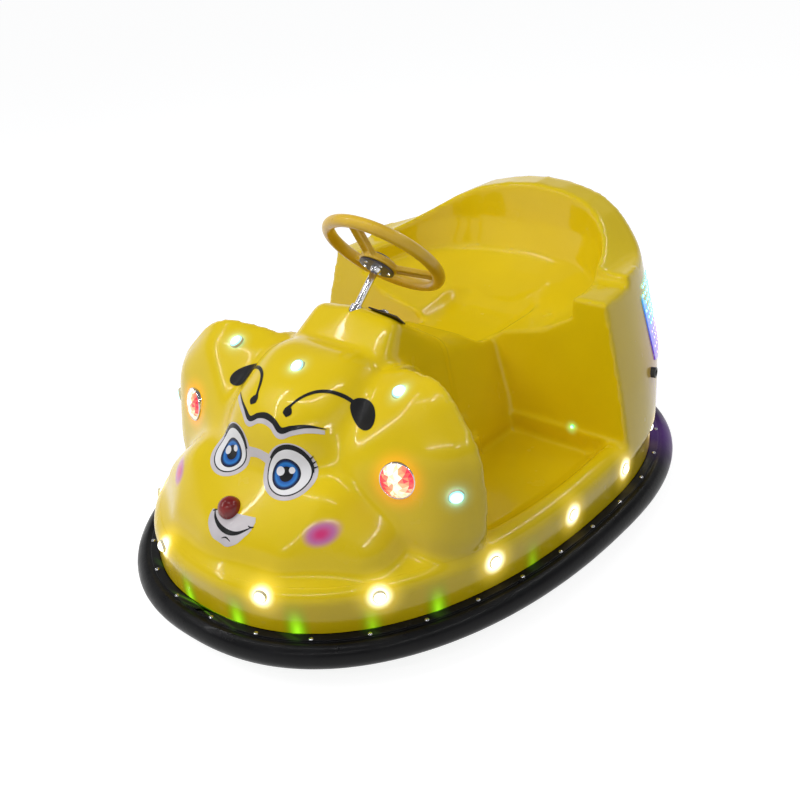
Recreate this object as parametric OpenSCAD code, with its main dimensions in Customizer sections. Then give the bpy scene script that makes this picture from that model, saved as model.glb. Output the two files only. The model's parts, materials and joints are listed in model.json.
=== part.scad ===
// Small fairground bumper car: moulded body on a steel frame, rubber bumper ring,
// one steered and driven front wheel and two free rear wheels.
// Front is -Y, up is +Z, the floor is z = 0.

/* [Bumper ring] */
// half width at the screw line
ring_b = 477; // [440:1:520]
// screw line, widest place to the front end
ring_front = 724; // [680:1:780]
// screw line, widest place to the rear end
ring_rear = 530; // [490:1:580]
// y of the widest place
wide_y = 97; // [80:1:120]
// height of the flange top above the floor
ring_z = 100; // [95:1:110]
// radius of the rubber bulge
bulge_r = 26; // [22:1:30]

/* [Body] */
// thickness of the moulded walls
wall = 5; // [3:0.5:7]
// lift of the seat back above the arms
back_rise = 120; // [80:1:150]
// top of the arms above the floor
arm_z = 492; // [470:1:520]
// seat height above the floor
seat_z = 372; // [350:1:390]
// top of the footwell floor above the ground
floor_z = 150; // [140:1:165]
// seam between tub and hood above the floor
seam_z = 190; // [185:1:200]

/* [Steering] */
// outer radius of the steering wheel
wheel_r = 140; // [120:1:155]
// radius of the rim tube
rim_r = 13.5; // [11:0.5:16]
// lean of the shaft from vertical
lean = 48.7; // [46:0.1:52]
// height of the wheel centre
wheel_z = 622; // [610:1:650]
// y of the wheel centre
wheel_y = -15; // [-25:1:-5]
// shaft diameter
shaft_d = 16; // [12:1:20]

/* [Running gear] */
// drive tyre radius
drive_r = 75; // [65:1:78]
// drive tyre width
drive_w = 45; // [35:1:50]
// y of the drive wheel
drive_y = -330; // [-345:1:-315]
// rear tyre radius
rear_r = 50; // [44:1:55]
// rear tyre width
rear_w = 32; // [24:1:36]
// y of the rear axle
rear_y = 400; // [385:1:415]
// half track of the rear wheels
rear_x = 250; // [230:1:265]
// axle diameter
axle_d = 12; // [10:1:14]

/* [Hidden] */
$fn = 48;
yellow = [0.93, 0.78, 0.05];
black = [0.06, 0.06, 0.06];
steel = [0.62, 0.63, 0.65];
frame_grey = [0.2, 0.21, 0.22];
lit = [0.85, 0.97, 1];
run = 0.05;
seat_gap = 0.3;

// ---- outlines ----
plan_n = 72;
exp_front = 2.29;
exp_rear = 2.35;
ring_exp = [exp_front, exp_rear];

function sgn_pow(v, p) = sign(v) * pow(abs(v), p);
// dot at angle t from the front on an oval: half width b, front and rear reach, two exponents
function oval_dot(b, front, rear, exps, mid_y, t) =
  let (c = cos(t), s = sin(t))
  let (n = c > 0 ? exps[0] : exps[1])
  [b * sgn_pow(s, 2 / n), mid_y - (c > 0 ? front : rear) * sgn_pow(c, 2 / n)];
function oval(b, front, rear, exps, mid_y, turn = 0.5) =
  [for (i = [0 : plan_n - 1]) oval_dot(b, front, rear, exps, mid_y, (i + turn) * 360 / plan_n)];
// the screw line moved out by w; turn shifts the dots so that two outlines never share an edge
function plan(w, turn = 0.5) = oval(ring_b + w, ring_front + w, ring_rear + w, ring_exp, wide_y, turn);
// outline of the seat part: half width b and y of its back
function seat_plan(b, back, n) = oval(b, 500, back - 150, [2, n], 150);

module slice(points, z) {
  translate([0, 0, z])
    linear_extrude(0.5)
      polygon(points);
}

// convex stack of the ring outline: rows of [w, z]
module stack(rows, g) {
  hull()
    for (row = rows)
      slice(plan(row[0] + g), row[1]);
}

// convex stack of the seat outline: rows of [half width, back y, exponent, z]
module seat_stack(rows, g) {
  hull()
    for (row = rows)
      slice(seat_plan(row[0] + g, row[1] + g, row[2]), row[3]);
}

// rounded lump: hull of balls, rows of [x, y, z, r]; g grows it
module lump(rows, g) {
  hull()
    for (row = rows)
      translate([row[0], row[1], row[2]])
        sphere(r = row[3] + g, $fn = 24);
}

function other_side(rows) = [for (row = rows) [-row[0], row[1], row[2], row[3]]];

// the same lump on both sides
module pair(rows, g) {
  lump(rows, g);
  lump(other_side(rows), g);
}

// one lump across the middle
module span(rows, g) {
  lump(concat(rows, other_side(rows)), g);
}

module twin() {
  for (side = [0, 1])
    mirror([side, 0, 0])
      children();
}

// ---- measures that follow from the sizes above ----
skirt_w = -14;
fender_y = -215;
cowl_back_y = 12;
bush_d = 26;
joint_drop = (wheel_y - drive_y) / sin(lean);
joint_z = wheel_z - joint_drop * cos(lean);

// lamps in the shells: [x, y, z, outward x, outward y, outward z, radius]
hood_lamp_rows = [
  [0, -297, 488, 0, -0.55, 0.83, 15],
  [227, -254, 468, 0.1, -0.45, 0.88, 15],
  [-227, -254, 468, -0.1, -0.45, 0.88, 15],
  [390, -309, 322, 0.72, -0.66, -0.1, 15],
  [-390, -309, 322, -0.72, -0.66, -0.1, 15]
];
side_lamp_row = [287, -350, 345, 0.32, -0.92, 0.22, 34];

nose_at = [0, -516, 276];
nose_r = 24;
// dash panel: place on the back slope of the cowl and the way it faces
dash_row = [62, -92, 524, 0.08, 0.75, 0.66];

// ---- hood: rows of [x, y, z, r] ----
dome_rows = [
  [30, -290, 330, 145],
  [60, -235, 390, 108]
];
muzzle_rows = [
  [20, -488, 188, 88],
  [120, -468, 188, 88],
  [225, -396, 190, 87],
  [60, -415, 205, 117],
  [50, -395, 225, 110],
  [145, -390, 218, 117]
];
fender_rows = [
  [312, -228, 345, 107],
  [280, -212, 388, 102],
  [180, -190, 375, 100],
  [302, -250, 230, 113],
  [150, -290, 285, 108]
];
cowl_rows = [
  [88, -118, 505, 28],
  [0, -118, 515, 28],
  [90, -170, 440, 50],
  [75, 10, 395, 45],
  [110, -110, 190, 45],
  [110, 10, 190, 45]
];

module hood_solid(g) {
  span(dome_rows, g);
  span(muzzle_rows, g);
  pair(fender_rows, g);
  span(cowl_rows, g);
  stack([[-30.7, seam_z - 40], [-31, seam_z], [-36, seam_z + 4], [-48, seam_z + 8],
    [-70, seam_z + 11], [-100, seam_z + 12 + g]], g);
}

// plan of the hood: its back runs out and forward from the cowl; g moves the back edges
module hood_plan(g, cowl_back) {
  polygon([[-600, fender_y - 100 + g], [-155, -172 + g], [155, -172 + g], [600, fender_y - 100 + g],
    [600, -800], [-600, -800]]);
  translate([-170, -400])
    square([340, 400 + cowl_back]);
}

module hood_room(low, g, cowl_back) {
  translate([0, 0, low])
    linear_extrude(600)
      hood_plan(g, cowl_back);
}

// fills the creases between the hood's lumps on the inside
hood_core_rows = [
  [85, -290, 240, 55],
  [85, -140, 240, 40],
  [60, -110, 340, 45],
  [60, -230, 380, 60],
  [170, -270, 260, 60]
];

module hood_shell() {
  color(yellow)
    difference() {
      intersection() {
        hood_solid(0);
        hood_room(seam_z + seat_gap, 0, cowl_back_y);
      }
      intersection() {
        union() {
          hood_solid(-wall);
          span(hood_core_rows, 0);
        }
        hood_room(seam_z - 60, -wall, cowl_back_y + 60);
      }
      hood_holes();
    }
}

module aim(row) {
  n = [row[3], row[4], row[5]] / norm([row[3], row[4], row[5]]);
  translate([row[0], row[1], row[2]])
    rotate([0, acos(n[2]), atan2(n[1], n[0])])
      children();
}

module hood_holes() {
  // shaft
  translate([0, wheel_y, wheel_z])
    rotate([-lean, 0, 0])
      translate([0, 0, -joint_drop])
        cylinder(d = bush_d + 2 * seat_gap, h = joint_drop - 60);
  translate(nose_at)
    sphere(r = nose_r + seat_gap, $fn = 32);
  aim(dash_row)
    translate([-17 - seat_gap, -42 - seat_gap, 0])
      cube([34 + 2 * seat_gap, 84 + 2 * seat_gap, 30]);
  // lamps
  for (row = hood_lamp_rows)
    aim(row)
      translate([0, 0, -30])
        cylinder(r = row[6] + seat_gap, h = 60);
  twin()
    aim(side_lamp_row)
      translate([0, 0, -30])
        cylinder(r = side_lamp_row[6] + seat_gap, h = 60);
}

// ---- tub ----
spine_rows = [
  [115, 60, 170, 45],
  [115, 250, 170, 45],
  [65, 10, 385, 45],
  [60, 120, 330, 48],
  [60, 250, 320, 48]
];
pommel_rows = [
  [66, 186, 350, 40],
  [40, 250, 345, 42],
  [95, 190, 170, 60]
];
dish_rows = [
  [60, 200, 440, 85],
  [60, 330, 440, 85]
];
tub_seat_rows = [
  [461, 611, 2.4, 160],
  [446, 612, 2.7, 230],
  [431, 615, 3.0, 300],
  [411, 616, 2.9, 380],
  [388, 617, 2.75, 450],
  [368, 618, 2.7, 510],
  [347, 618, 3.0, 620]
];
bucket_rows = [
  [311, 548, 2.9, 700],
  [306, 535, 2.8, 520],
  [293, 512, 2.7, 450],
  [275, 480, 2.5, 405]
];
// top of the back: [half width, rise above the arms]
arch_rows = [[450, 20], [371, 20], [343, 17], [313, 18], [283, 34], [251, 53], [209, 79], [155, 102], [80, 117], [0, 124]];

// the back stands a step above the arms from here on
back_y = 345;

module seat_block(g) {
  rise = back_rise / 124;
  half_arch = [for (row = arch_rows) [row[0], arm_z + row[1] * rise + g]];
  intersection() {
    seat_stack(tub_seat_rows, g);
    union() {
      translate([-600, 0, 0])
        cube([1200, back_y + 50, arm_z + g]);
      translate([0, 800, 0])
        rotate([90, 0, 0])
          linear_extrude(800 - back_y + g)
            polygon(concat([[-520, 0], [520, 0], [520, arm_z + g]], half_arch,
              [for (i = [len(half_arch) - 2 : -1 : 0]) [-half_arch[i][0], half_arch[i][1]]],
              [[-520, arm_z + g]]));
    }
    // front of the arms leans back
    translate([0, 198 - g, 200])
      rotate([-6, 0, 0])
        translate([-600, 0, -300])
          cube([1200, 700, 1000]);
  }
}

module bucket(g) {
  hull()
    for (dy = [0, -330]) {
      translate([0, dy, 0]) {
        for (row = bucket_rows)
          slice(seat_plan(row[0] + g, row[1] + g, row[2]), row[3]);
        slice(seat_plan(240 + g, 445 + g, 2.4), seat_z - g);
      }
    }
}

module footwells(g) {
  intersection() {
    hull() {
      slice(plan(-115 + g, 0.2), floor_z - g);
      slice(plan(-88 + g, 0.2), floor_z + 10 - g);
      slice(plan(-58 + g, 0.2), seam_z + 4);
      slice(plan(-50 + g, 0.2), 500);
    }
    translate([-500, fender_y - g, 0])
      cube([1000, 405 + 2 * g, 700]);
  }
}

module tub_solid(g) {
  difference() {
    union() {
      stack([[-13.8, 100], [-14, 165], [-17, 178], [-25, 187], [-38, 193 + g], [-60, 196 + g]], g);
      seat_block(g);
    }
    bucket(-g);
    span(dish_rows, -g);
    difference() {
      footwells(-g);
      translate([-110 - g, -800, 0])
        cube([220 + 2 * g, 800, 700]);
    }
  }
  intersection() {
    union() {
      difference() {
        span(spine_rows, g);
        span(dish_rows, -g);
      }
      difference() {
        span(pommel_rows, g);
        span(dish_rows, -g);
      }
    }
    translate([-400, g < 0 ? -60 : 12 + seat_gap, 102])
      cube([800, 500, 600]);
  }
}

module tub_shell() {
  color(yellow)
    difference() {
      tub_solid(0);
      difference() {
        tub_solid(-wall);
        hood_room(seam_z - wall, 0, cowl_back_y);
      }
      // room for the hood
      hood_room(seam_z, seat_gap, cowl_back_y + seat_gap);
      // open underside
      translate([0, 0, 99])
        linear_extrude(3)
          polygon(plan(skirt_w - wall, 0.8));
      // opening under the hood, with a ledge left for it
      translate([0, 0, 120])
        linear_extrude(100)
          difference() {
            polygon(plan(-50, 0.8));
            translate([-500, fender_y - 25])
              square([1000, 1200]);
          }
      translate([-95, -260, 120])
        cube([190, 270, 100]);
      tub_holes();
    }
}

// ---- places of the small fittings in the tub ----
// skirt lamps: [run along the skirt from the front, height]
skirt_lamp_rows = [
  [136, 172],
  [363, 168],
  [600, 161],
  [818, 158],
  [1020, 158],
  [1210, 160],
  [1405, 160],
  [1600, 160]
];
step_lamp_row = [318, 198, 198, 0, -1, 0.1, 5];
socket_row = [421, 370, 285, 0.975, 0.22, 0.02, 12];

fine_n = 360;
skirt_path = [for (i = [0 : fine_n]) oval_dot(ring_b + skirt_w, ring_front + skirt_w,
  ring_rear + skirt_w, ring_exp, wide_y, i * 360 / fine_n)];
// index and share of the path step that holds run length s
function find_dot(s, i = 0, done = 0) =
  let (d = norm(skirt_path[i + 1] - skirt_path[i]))
  done + d >= s || i >= fine_n - 1 ? [i, (s - done) / d] : find_dot(s, i + 1, done + d);

module on_skirt(row) {
  hit = find_dot(row[0]);
  p = skirt_path[hit[0]];
  q = skirt_path[hit[0] + 1];
  at = p + (q - p) * hit[1];
  translate([at[0], at[1], row[1]])
    rotate([0, 90, atan2(q[1] - p[1], q[0] - p[0]) - 90])
      children();
}

module tub_holes() {
  twin() {
    for (row = skirt_lamp_rows)
      on_skirt(row)
        translate([0, 0, -25])
          cylinder(r = 12 + seat_gap, h = 40, $fn = 24);
    aim(step_lamp_row)
      translate([0, 0, -20])
        cylinder(r = 5 + seat_gap, h = 30, $fn = 16);
  }
  aim(socket_row)
    translate([0, 0, -20])
      cylinder(r = 12 + seat_gap, h = 40, $fn = 24);
}

// ---- lamps ----
// turned lamp: a stem of radius r that ends in a low dome
module dome_lamp(r, rise, stem, fn) {
  rotate_extrude($fn = fn)
    polygon(concat([[0, -stem], [r, -stem]],
      [for (a = [0 : 18 : 72]) [r * cos(a), rise * sin(a)]], [[0, rise]]));
}

module hood_lamps() {
  color(lit)
    for (row = hood_lamp_rows)
      aim(row)
        dome_lamp(row[6], 8, 12, 24);
}

module side_lamp() {
  color([1, 0.3, 0.2])
    aim(side_lamp_row)
      dome_lamp(side_lamp_row[6], 11, 14, 36);
}

module side_lamp_left() {
  side_lamp();
}

module side_lamp_right() {
  mirror([1, 0, 0])
    side_lamp();
}

module skirt_lamps() {
  color([1, 0.95, 0.8])
    twin()
      for (row = skirt_lamp_rows)
        on_skirt(row)
          dome_lamp(12, 9, 12, 18);
}

module step_lamps() {
  color([0.5, 1, 0.6])
    twin()
      aim(step_lamp_row)
        dome_lamp(5, 3, 8, 12);
}

module nose_ball() {
  color([0.45, 0.03, 0.03])
    translate(nose_at)
      sphere(r = nose_r, $fn = 32);
}

// lit panel on the outside of the rear quarter
module rear_light() {
  rows = [for (row = tub_seat_rows) if (row[3] > 200) row];
  color([0.3, 0.6, 1])
    intersection() {
      difference() {
        seat_stack(rows, 3);
        seat_stack(rows, seat_gap);
      }
      rotate([90, 0, 90])
        linear_extrude(600)
          polygon([[330, 484], [470, 484], [520, 400], [500, 310], [395, 290], [340, 380]]);
    }
}

module rear_light_left() {
  rear_light();
}

module rear_light_right() {
  mirror([1, 0, 0])
    rear_light();
}

module charge_socket() {
  color(black)
    aim(socket_row)
      difference() {
        translate([0, 0, -14])
          cylinder(r = 12, h = 20, $fn = 24);
        translate([0, 0, -8])
          cylinder(r = 7, h = 20, $fn = 24);
      }
}

module foot_pedal() {
  color(black)
    translate([-260, -100, floor_z + seat_gap])
      rotate([90, 0, 90])
        linear_extrude(60)
          polygon([[0, 0], [0, 6], [-84, 26], [-90, 24], [-90, 0]]);
}

module start_button() {
  color(steel)
    aim(dash_row)
      translate([0, 8, 3 + 2 * seat_gap])
        cylinder(r = 9, h = 9, $fn = 24);
}

module dash_panel() {
  color([0.14, 0.09, 0.06])
    aim(dash_row)
      translate([-17, -42, seat_gap])
        cube([34, 84, 3]);
}

// ---- bumper ring ----
bulge_w = 10.3;
bulge_z = ring_z - 27.6;
ring_in = -10;

module bumper_ring() {
  color(black)
    difference() {
      union() {
        hull()
          for (a = [-80 : 16 : 80])
            slice(plan(bulge_w + bulge_r * cos(a)), bulge_z + bulge_r * sin(a) - 0.25);
        translate([0, 0, ring_z - 5])
          linear_extrude(5)
            polygon(plan(4));
      }
      linear_extrude(ring_z - 5)
        polygon(plan(ring_in));
      linear_extrude(ring_z + 10)
        polygon(plan(-13));
      // groove between flange and bulge
      translate([0, 0, ring_z - 4])
        linear_extrude(10)
          difference() {
            polygon(plan(10));
            polygon(plan(4));
          }
    }
}

// ---- steering: made about the wheel centre with the shaft along local z ----
module at_wheel() {
  translate([0, wheel_y, wheel_z])
    rotate([-lean, 0, 0])
      children();
}

hub_low = -30;

module steering_wheel() {
  color(yellow)
    at_wheel()
      difference() {
        union() {
          rotate_extrude($fn = 72)
            translate([wheel_r - rim_r, 0])
              circle(r = rim_r, $fn = 24);
          translate([0, 0, hub_low])
            cylinder(r = 42, h = 15);
          for (a = [30, 150, 270])
            rotate([0, 0, a])
              rotate([90, 0, 0])
                translate([0, 0, -15])
                  linear_extrude(30)
                    polygon([[30, hub_low + 1], [30, hub_low + 13], [wheel_r - 17, 7], [wheel_r - 13, -7]]);
        }
        translate([0, 0, -60])
          cylinder(d = shaft_d + 2 * seat_gap, h = 60);
      }
}

module hub_plate() {
  color([0.2, 0.2, 0.2])
    at_wheel()
      translate([0, 0, hub_low - 5])
        difference() {
          cylinder(r = 39, h = 5 - seat_gap);
          translate([0, 0, -1])
            cylinder(d = shaft_d + 2 * seat_gap, h = 10);
        }
}

module wheel_cap() {
  color([0.1, 0.1, 0.1])
    at_wheel()
      translate([0, 0, hub_low + 15 + seat_gap])
        rotate_extrude($fn = 48)
          polygon([[0, 0], [24, 0], [24, 4], [20, 8], [0, 9]]);
}

ball_r = 17;

module steering_shaft() {
  color([0.8, 0.8, 0.82])
    at_wheel() {
      translate([0, 0, -joint_drop])
        cylinder(d = shaft_d, h = joint_drop + hub_low + 14);
      translate([0, 0, -joint_drop])
        sphere(r = ball_r);
    }
}

module shaft_bush() {
  color(black)
    at_wheel()
      translate([0, 0, -172])
        difference() {
          cylinder(d = bush_d, h = 34);
          translate([0, 0, -1])
            cylinder(d = shaft_d + 2 * run, h = 40);
        }
}

post_y = -190;

module steering_column() {
  post_drop = (wheel_y - post_y) / sin(lean);
  post_top = wheel_z - post_drop * cos(lean);
  color(frame_grey)
    difference() {
      union() {
        at_wheel()
          translate([0, 0, -joint_drop + 48])
            cylinder(d = bush_d - 1, h = joint_drop - 48 - 196);
        translate([-10, post_y - 10, 125 + seat_gap])
          cube([20, 20, post_top - 125]);
      }
      at_wheel()
        translate([0, 0, -joint_drop])
          cylinder(d = shaft_d + 2 * run, h = joint_drop);
    }
}

// ---- drive unit, turns with the steering ----
spindle_d = 25;
head_low = 215;
head_high = 285;
leg_x = 30;

module drive_fork() {
  color(frame_grey)
    translate([0, drive_y, 0])
      difference() {
        union() {
          translate([0, 0, 185])
            cylinder(d = spindle_d, h = joint_z - 22 - 185);
          translate([0, 0, joint_z - 26])
            cylinder(r = 26, h = 24);
          translate([-leg_x - 8, -28, 180])
            cube([2 * leg_x + 16, 56, 12]);
          for (x = [-leg_x - 8, leg_x])
            translate([x, -18, drive_r - 20])
              cube([8, 36, 185 - drive_r + 15]);
        }
        translate([0, 0, joint_z])
          sphere(r = ball_r + 0.5);
        translate([0, 0, drive_r])
          rotate([0, 90, 0])
            translate([0, 0, -60])
              cylinder(d = axle_d + 2 * seat_gap, h = 120);
      }
}

module along_x(x, y, z) {
  translate([x, y, z])
    rotate([0, 90, 0])
      children();
}

module drive_axle() {
  color(steel)
    along_x(-leg_x - 14, drive_y, drive_r)
      cylinder(d = axle_d, h = 2 * leg_x + 22);
}

module drive_motor() {
  color([0.25, 0.25, 0.27])
    along_x(leg_x + 8 + seat_gap, drive_y, drive_r)
      cylinder(r = 28, h = 66);
}

module wheel_tyre(x, y, r, w, inner) {
  color([0.08, 0.08, 0.08])
    along_x(x, y, r)
      rotate_extrude($fn = 64)
        polygon([[inner, -w / 2], [r - 6, -w / 2], [r, -w / 2 + 6], [r, w / 2 - 6], [r - 6, w / 2],
          [inner, w / 2]]);
}

module wheel_hub(x, y, r, w, outer) {
  color([0.85, 0.83, 0.78])
    along_x(x, y, r)
      difference() {
        union() {
          translate([0, 0, -w / 2 + 4])
            cylinder(r = outer, h = w - 8);
          translate([0, 0, -w / 2 - 1])
            cylinder(r = axle_d / 2 + 8, h = w + 2);
        }
        translate([0, 0, -w])
          cylinder(d = axle_d + 2 * run, h = 2 * w);
      }
}

module drive_tyre() {
  wheel_tyre(0, drive_y, drive_r, drive_w, 50);
}

module drive_hub() {
  wheel_hub(0, drive_y, drive_r, drive_w, 50 - seat_gap);
}

module rear_tyre_left() {
  wheel_tyre(rear_x, rear_y, rear_r, rear_w, 30);
}

module rear_tyre_right() {
  wheel_tyre(-rear_x, rear_y, rear_r, rear_w, 30);
}

module rear_hub_left() {
  wheel_hub(rear_x, rear_y, rear_r, rear_w, 30 - seat_gap);
}

module rear_hub_right() {
  wheel_hub(-rear_x, rear_y, rear_r, rear_w, 30 - seat_gap);
}

module rear_axle() {
  half = rear_x + rear_w / 2 + 8;
  color(steel)
    along_x(-half, rear_y, rear_r)
      cylinder(d = axle_d, h = 2 * half);
}

// ---- frame ----
rail_x = 150;
rail_front = -572;
rail_rear = 580;
tray_front = 190;
tray_rear = 370;

module chassis_frame() {
  color(frame_grey)
    difference() {
      union() {
        // hoop that carries the ring and the tub
        translate([0, 0, ring_z - 50])
          linear_extrude(44.7)
            difference() {
              polygon(plan(ring_in - seat_gap));
              polygon(plan(ring_in - 6));
            }
        translate([0, 0, ring_z - 8])
          linear_extrude(7.7)
            difference() {
              polygon(plan(-13 - seat_gap));
              polygon(plan(-36));
            }
        twin()
          translate([rail_x - 12.5, rail_front, ring_z - 1])
            cube([25, rail_rear - rail_front, 26]);
        for (y = [-480, post_y - 12.5, 40, tray_front - 25, tray_rear])
          translate([-rail_x, y, ring_z])
            cube([2 * rail_x, 25, 25]);
        // bulkhead and head tube for the spindle
        translate([0, drive_y + 4, 0])
          rotate([90, 0, 0])
            linear_extrude(8)
              polygon([[-162, 110], [-138, 110], [-66, 218], [66, 218], [138, 110], [162, 110], [162, 145],
                [50, 282], [-50, 282], [-162, 145]]);
        translate([0, drive_y, head_low])
          cylinder(r = 22, h = head_high - head_low);
        // brackets for the rear axle
        twin()
          translate([rail_x - 4, rear_y - 15, rear_r - 14])
            cube([8, 30, ring_z + 5 - rear_r + 14]);
      }
      translate([0, drive_y, 0])
        cylinder(d = spindle_d + 2 * run, h = 400);
      along_x(-300, rear_y, rear_r)
        cylinder(d = axle_d + 2 * seat_gap, h = 600);
    }
}

module battery_tray() {
  color(steel)
    translate([-95, 0, 0])
      rotate([90, 0, 90])
        linear_extrude(190)
          polygon([[tray_front + seat_gap, 58], [tray_rear - seat_gap, 58], [tray_rear - seat_gap, 125],
            [tray_rear - 3, 125], [tray_rear - 3, 62], [tray_front + 3, 62], [tray_front + 3, 125],
            [tray_front + seat_gap, 125]]);
}

module battery() {
  color([0.12, 0.13, 0.15])
    translate([-85, tray_front + 10, 62 + seat_gap])
      cube([170, tray_rear - tray_front - 20, 165]);
}

hood_shell();
tub_shell();
bumper_ring();
hood_lamps();
side_lamp_left();
side_lamp_right();
skirt_lamps();
step_lamps();
nose_ball();
rear_light_left();
rear_light_right();
charge_socket();
foot_pedal();
dash_panel();
start_button();
steering_wheel();
hub_plate();
wheel_cap();
steering_shaft();
shaft_bush();
steering_column();
drive_fork();
drive_axle();
drive_motor();
drive_tyre();
drive_hub();
rear_tyre_left();
rear_tyre_right();
rear_hub_left();
rear_hub_right();
rear_axle();
chassis_frame();
battery_tray();
battery();
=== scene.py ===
import json
import math

import bmesh
import bpy
from mathutils import Matrix, Vector
from mathutils.bvhtree import BVHTree
from mathutils.kdtree import KDTree


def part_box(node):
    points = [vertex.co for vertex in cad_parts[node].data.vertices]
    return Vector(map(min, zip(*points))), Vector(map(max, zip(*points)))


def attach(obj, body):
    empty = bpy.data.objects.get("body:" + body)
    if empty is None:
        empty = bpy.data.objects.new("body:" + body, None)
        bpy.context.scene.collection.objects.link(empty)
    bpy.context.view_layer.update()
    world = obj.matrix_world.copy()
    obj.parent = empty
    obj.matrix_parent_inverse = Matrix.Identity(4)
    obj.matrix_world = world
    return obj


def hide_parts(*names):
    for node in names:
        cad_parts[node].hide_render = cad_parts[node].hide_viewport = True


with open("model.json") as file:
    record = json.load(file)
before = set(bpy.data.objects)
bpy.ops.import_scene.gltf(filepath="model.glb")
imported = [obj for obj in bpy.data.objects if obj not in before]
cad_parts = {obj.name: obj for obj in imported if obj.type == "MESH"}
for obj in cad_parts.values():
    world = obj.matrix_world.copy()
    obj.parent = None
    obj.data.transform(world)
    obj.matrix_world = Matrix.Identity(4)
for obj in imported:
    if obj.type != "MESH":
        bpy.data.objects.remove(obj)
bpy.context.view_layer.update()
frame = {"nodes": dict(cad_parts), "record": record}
nodes = frame["nodes"]
MM = 0.001

# ------------------------------------------------------------------ camera
TURN, RISE, ROLL = math.radians(42.61), math.radians(27.73), math.radians(-5.66)
CAMERA_AT, LENS, SENSOR = Vector((1.380, -1.509, 1.347)), 46.48, 36


def make_camera():
    """Camera ahead of the car, above it and to one side, rolled a little."""
    back = Vector((math.sin(TURN) * math.cos(RISE), -math.cos(TURN) * math.cos(RISE), math.sin(RISE)))
    level = Vector((math.cos(TURN), math.sin(TURN), 0))
    upright = back.cross(level)
    right = level * math.cos(ROLL) + upright * math.sin(ROLL)
    up = upright * math.cos(ROLL) - level * math.sin(ROLL)
    data = bpy.data.cameras.new("camera")
    data.lens, data.sensor_width = LENS, SENSOR
    camera = bpy.data.objects.new("camera", data)
    camera.matrix_world = Matrix.Translation(CAMERA_AT) @ Matrix((right, up, back)).transposed().to_4x4()
    bpy.context.scene.collection.objects.link(camera)
    bpy.context.scene.camera = camera


make_camera()


# ------------------------------------------------------------------ finishes
def new_finish(name, **values):
    """A material, its node tree and its shader; values are the shader's own, such as Coat_Weight=0.5."""
    material = bpy.data.materials.new(name)
    material.use_nodes = True
    shader = material.node_tree.nodes["Principled BSDF"]
    for key, value in values.items():
        shader.inputs[key.replace("_", " ")].default_value = value
    return material, material.node_tree, shader


def add_node(tree, kind, inputs=None, **settings):
    """A node with its settings; an input is a value, or the socket that feeds it."""
    node = tree.nodes.new(kind)
    for key, value in settings.items():
        setattr(node, key, value)
    for key, value in (inputs or {}).items():
        if isinstance(value, bpy.types.NodeSocket):
            tree.links.new(value, node.inputs[key])
        else:
            node.inputs[key].default_value = value
    return node


def in_place(tree):
    """The point of the object, in metres."""
    return add_node(tree, "ShaderNodeTexCoord").outputs["Object"]


def noise(tree, scale, detail=3):
    """Soft random pattern, so many waves to the metre."""
    waves = {"Scale": scale, "Detail": detail, "Roughness": 0.5, "Vector": in_place(tree)}
    return add_node(tree, "ShaderNodeTexNoise", waves).outputs["Fac"]


def part_of(tree, vector, axis):
    """One number of a vector."""
    return add_node(tree, "ShaderNodeSeparateXYZ", {"Vector": vector}).outputs[axis]


def ramp(tree, factor, stops):
    """Colour from a factor, by stops of (place, colour)."""
    node = add_node(tree, "ShaderNodeValToRGB", {"Fac": factor})
    bar = node.color_ramp
    while len(bar.elements) < len(stops):
        bar.elements.new(0.5)
    for element, (where, colour) in zip(bar.elements, stops):
        element.position = where
        element.color = (*colour, 1)
    return node.outputs["Color"]


def stretch(tree, factor, low, high, from_low=0.3, from_high=0.7):
    """Maps a factor from one range to another."""
    spans = {"From Min": from_low, "From Max": from_high, "To Min": low, "To Max": high, "Value": factor}
    return add_node(tree, "ShaderNodeMapRange", spans).outputs["Result"]


def blend(tree, how, share, a, b):
    """Two colours in one, as paint (MIX), filter (MULTIPLY) or light (ADD)."""
    return add_node(tree, "ShaderNodeMix", {"Factor": share, "A": a, "B": b}, data_type="RGBA",
                    blend_type=how).outputs["Result"]


def dents(tree, shader, height, distance, strength=1.0, before=None):
    """Bump on a shader, on top of an earlier one."""
    node = add_node(tree, "ShaderNodeBump", {"Strength": strength, "Distance": distance, "Height": height})
    if before:
        tree.links.new(before, node.inputs["Normal"])
    tree.links.new(node.outputs["Normal"], shader.inputs["Normal"])
    return node.outputs["Normal"]


def plain_finish(name, dark, light, rough, metal=0.0, patch=25, grain=400, depth=0.0001, coat=0.0,
                 shine=0.5):
    """Everyday finish: patches between two tones, uneven roughness and a fine grain."""
    material, tree, shader = new_finish(name, Metallic=metal, Specular_IOR_Level=shine, Coat_Weight=coat,
                                        Coat_Roughness=0.06)
    tree.links.new(ramp(tree, noise(tree, patch), [(0.3, dark), (0.7, light)]), shader.inputs["Base Color"])
    tree.links.new(stretch(tree, noise(tree, patch * 3), rough * 0.8, min(1, rough * 1.25)),
                   shader.inputs["Roughness"])
    dents(tree, shader, noise(tree, grain, 2), depth)
    return material


def from_middle(tree):
    """How far out from its middle a point of the piece lies, 0 to 1, from its own UV map."""
    return part_of(tree, add_node(tree, "ShaderNodeUVMap", uv_map="from_middle").outputs["UV"], "X")


def lit_finish(name, stops, strength, rough, coat, grain, depth):
    """Lit glass: its colour glows, by stops from the middle of the piece to its rim."""
    material, tree, shader = new_finish(name, Emission_Strength=strength, Roughness=rough, Coat_Weight=coat)
    colour = ramp(tree, from_middle(tree), stops)
    tree.links.new(colour, shader.inputs["Emission Color"])
    tree.links.new(colour, shader.inputs["Base Color"])
    dents(tree, shader, noise(tree, grain, 2), depth)
    return material


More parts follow.
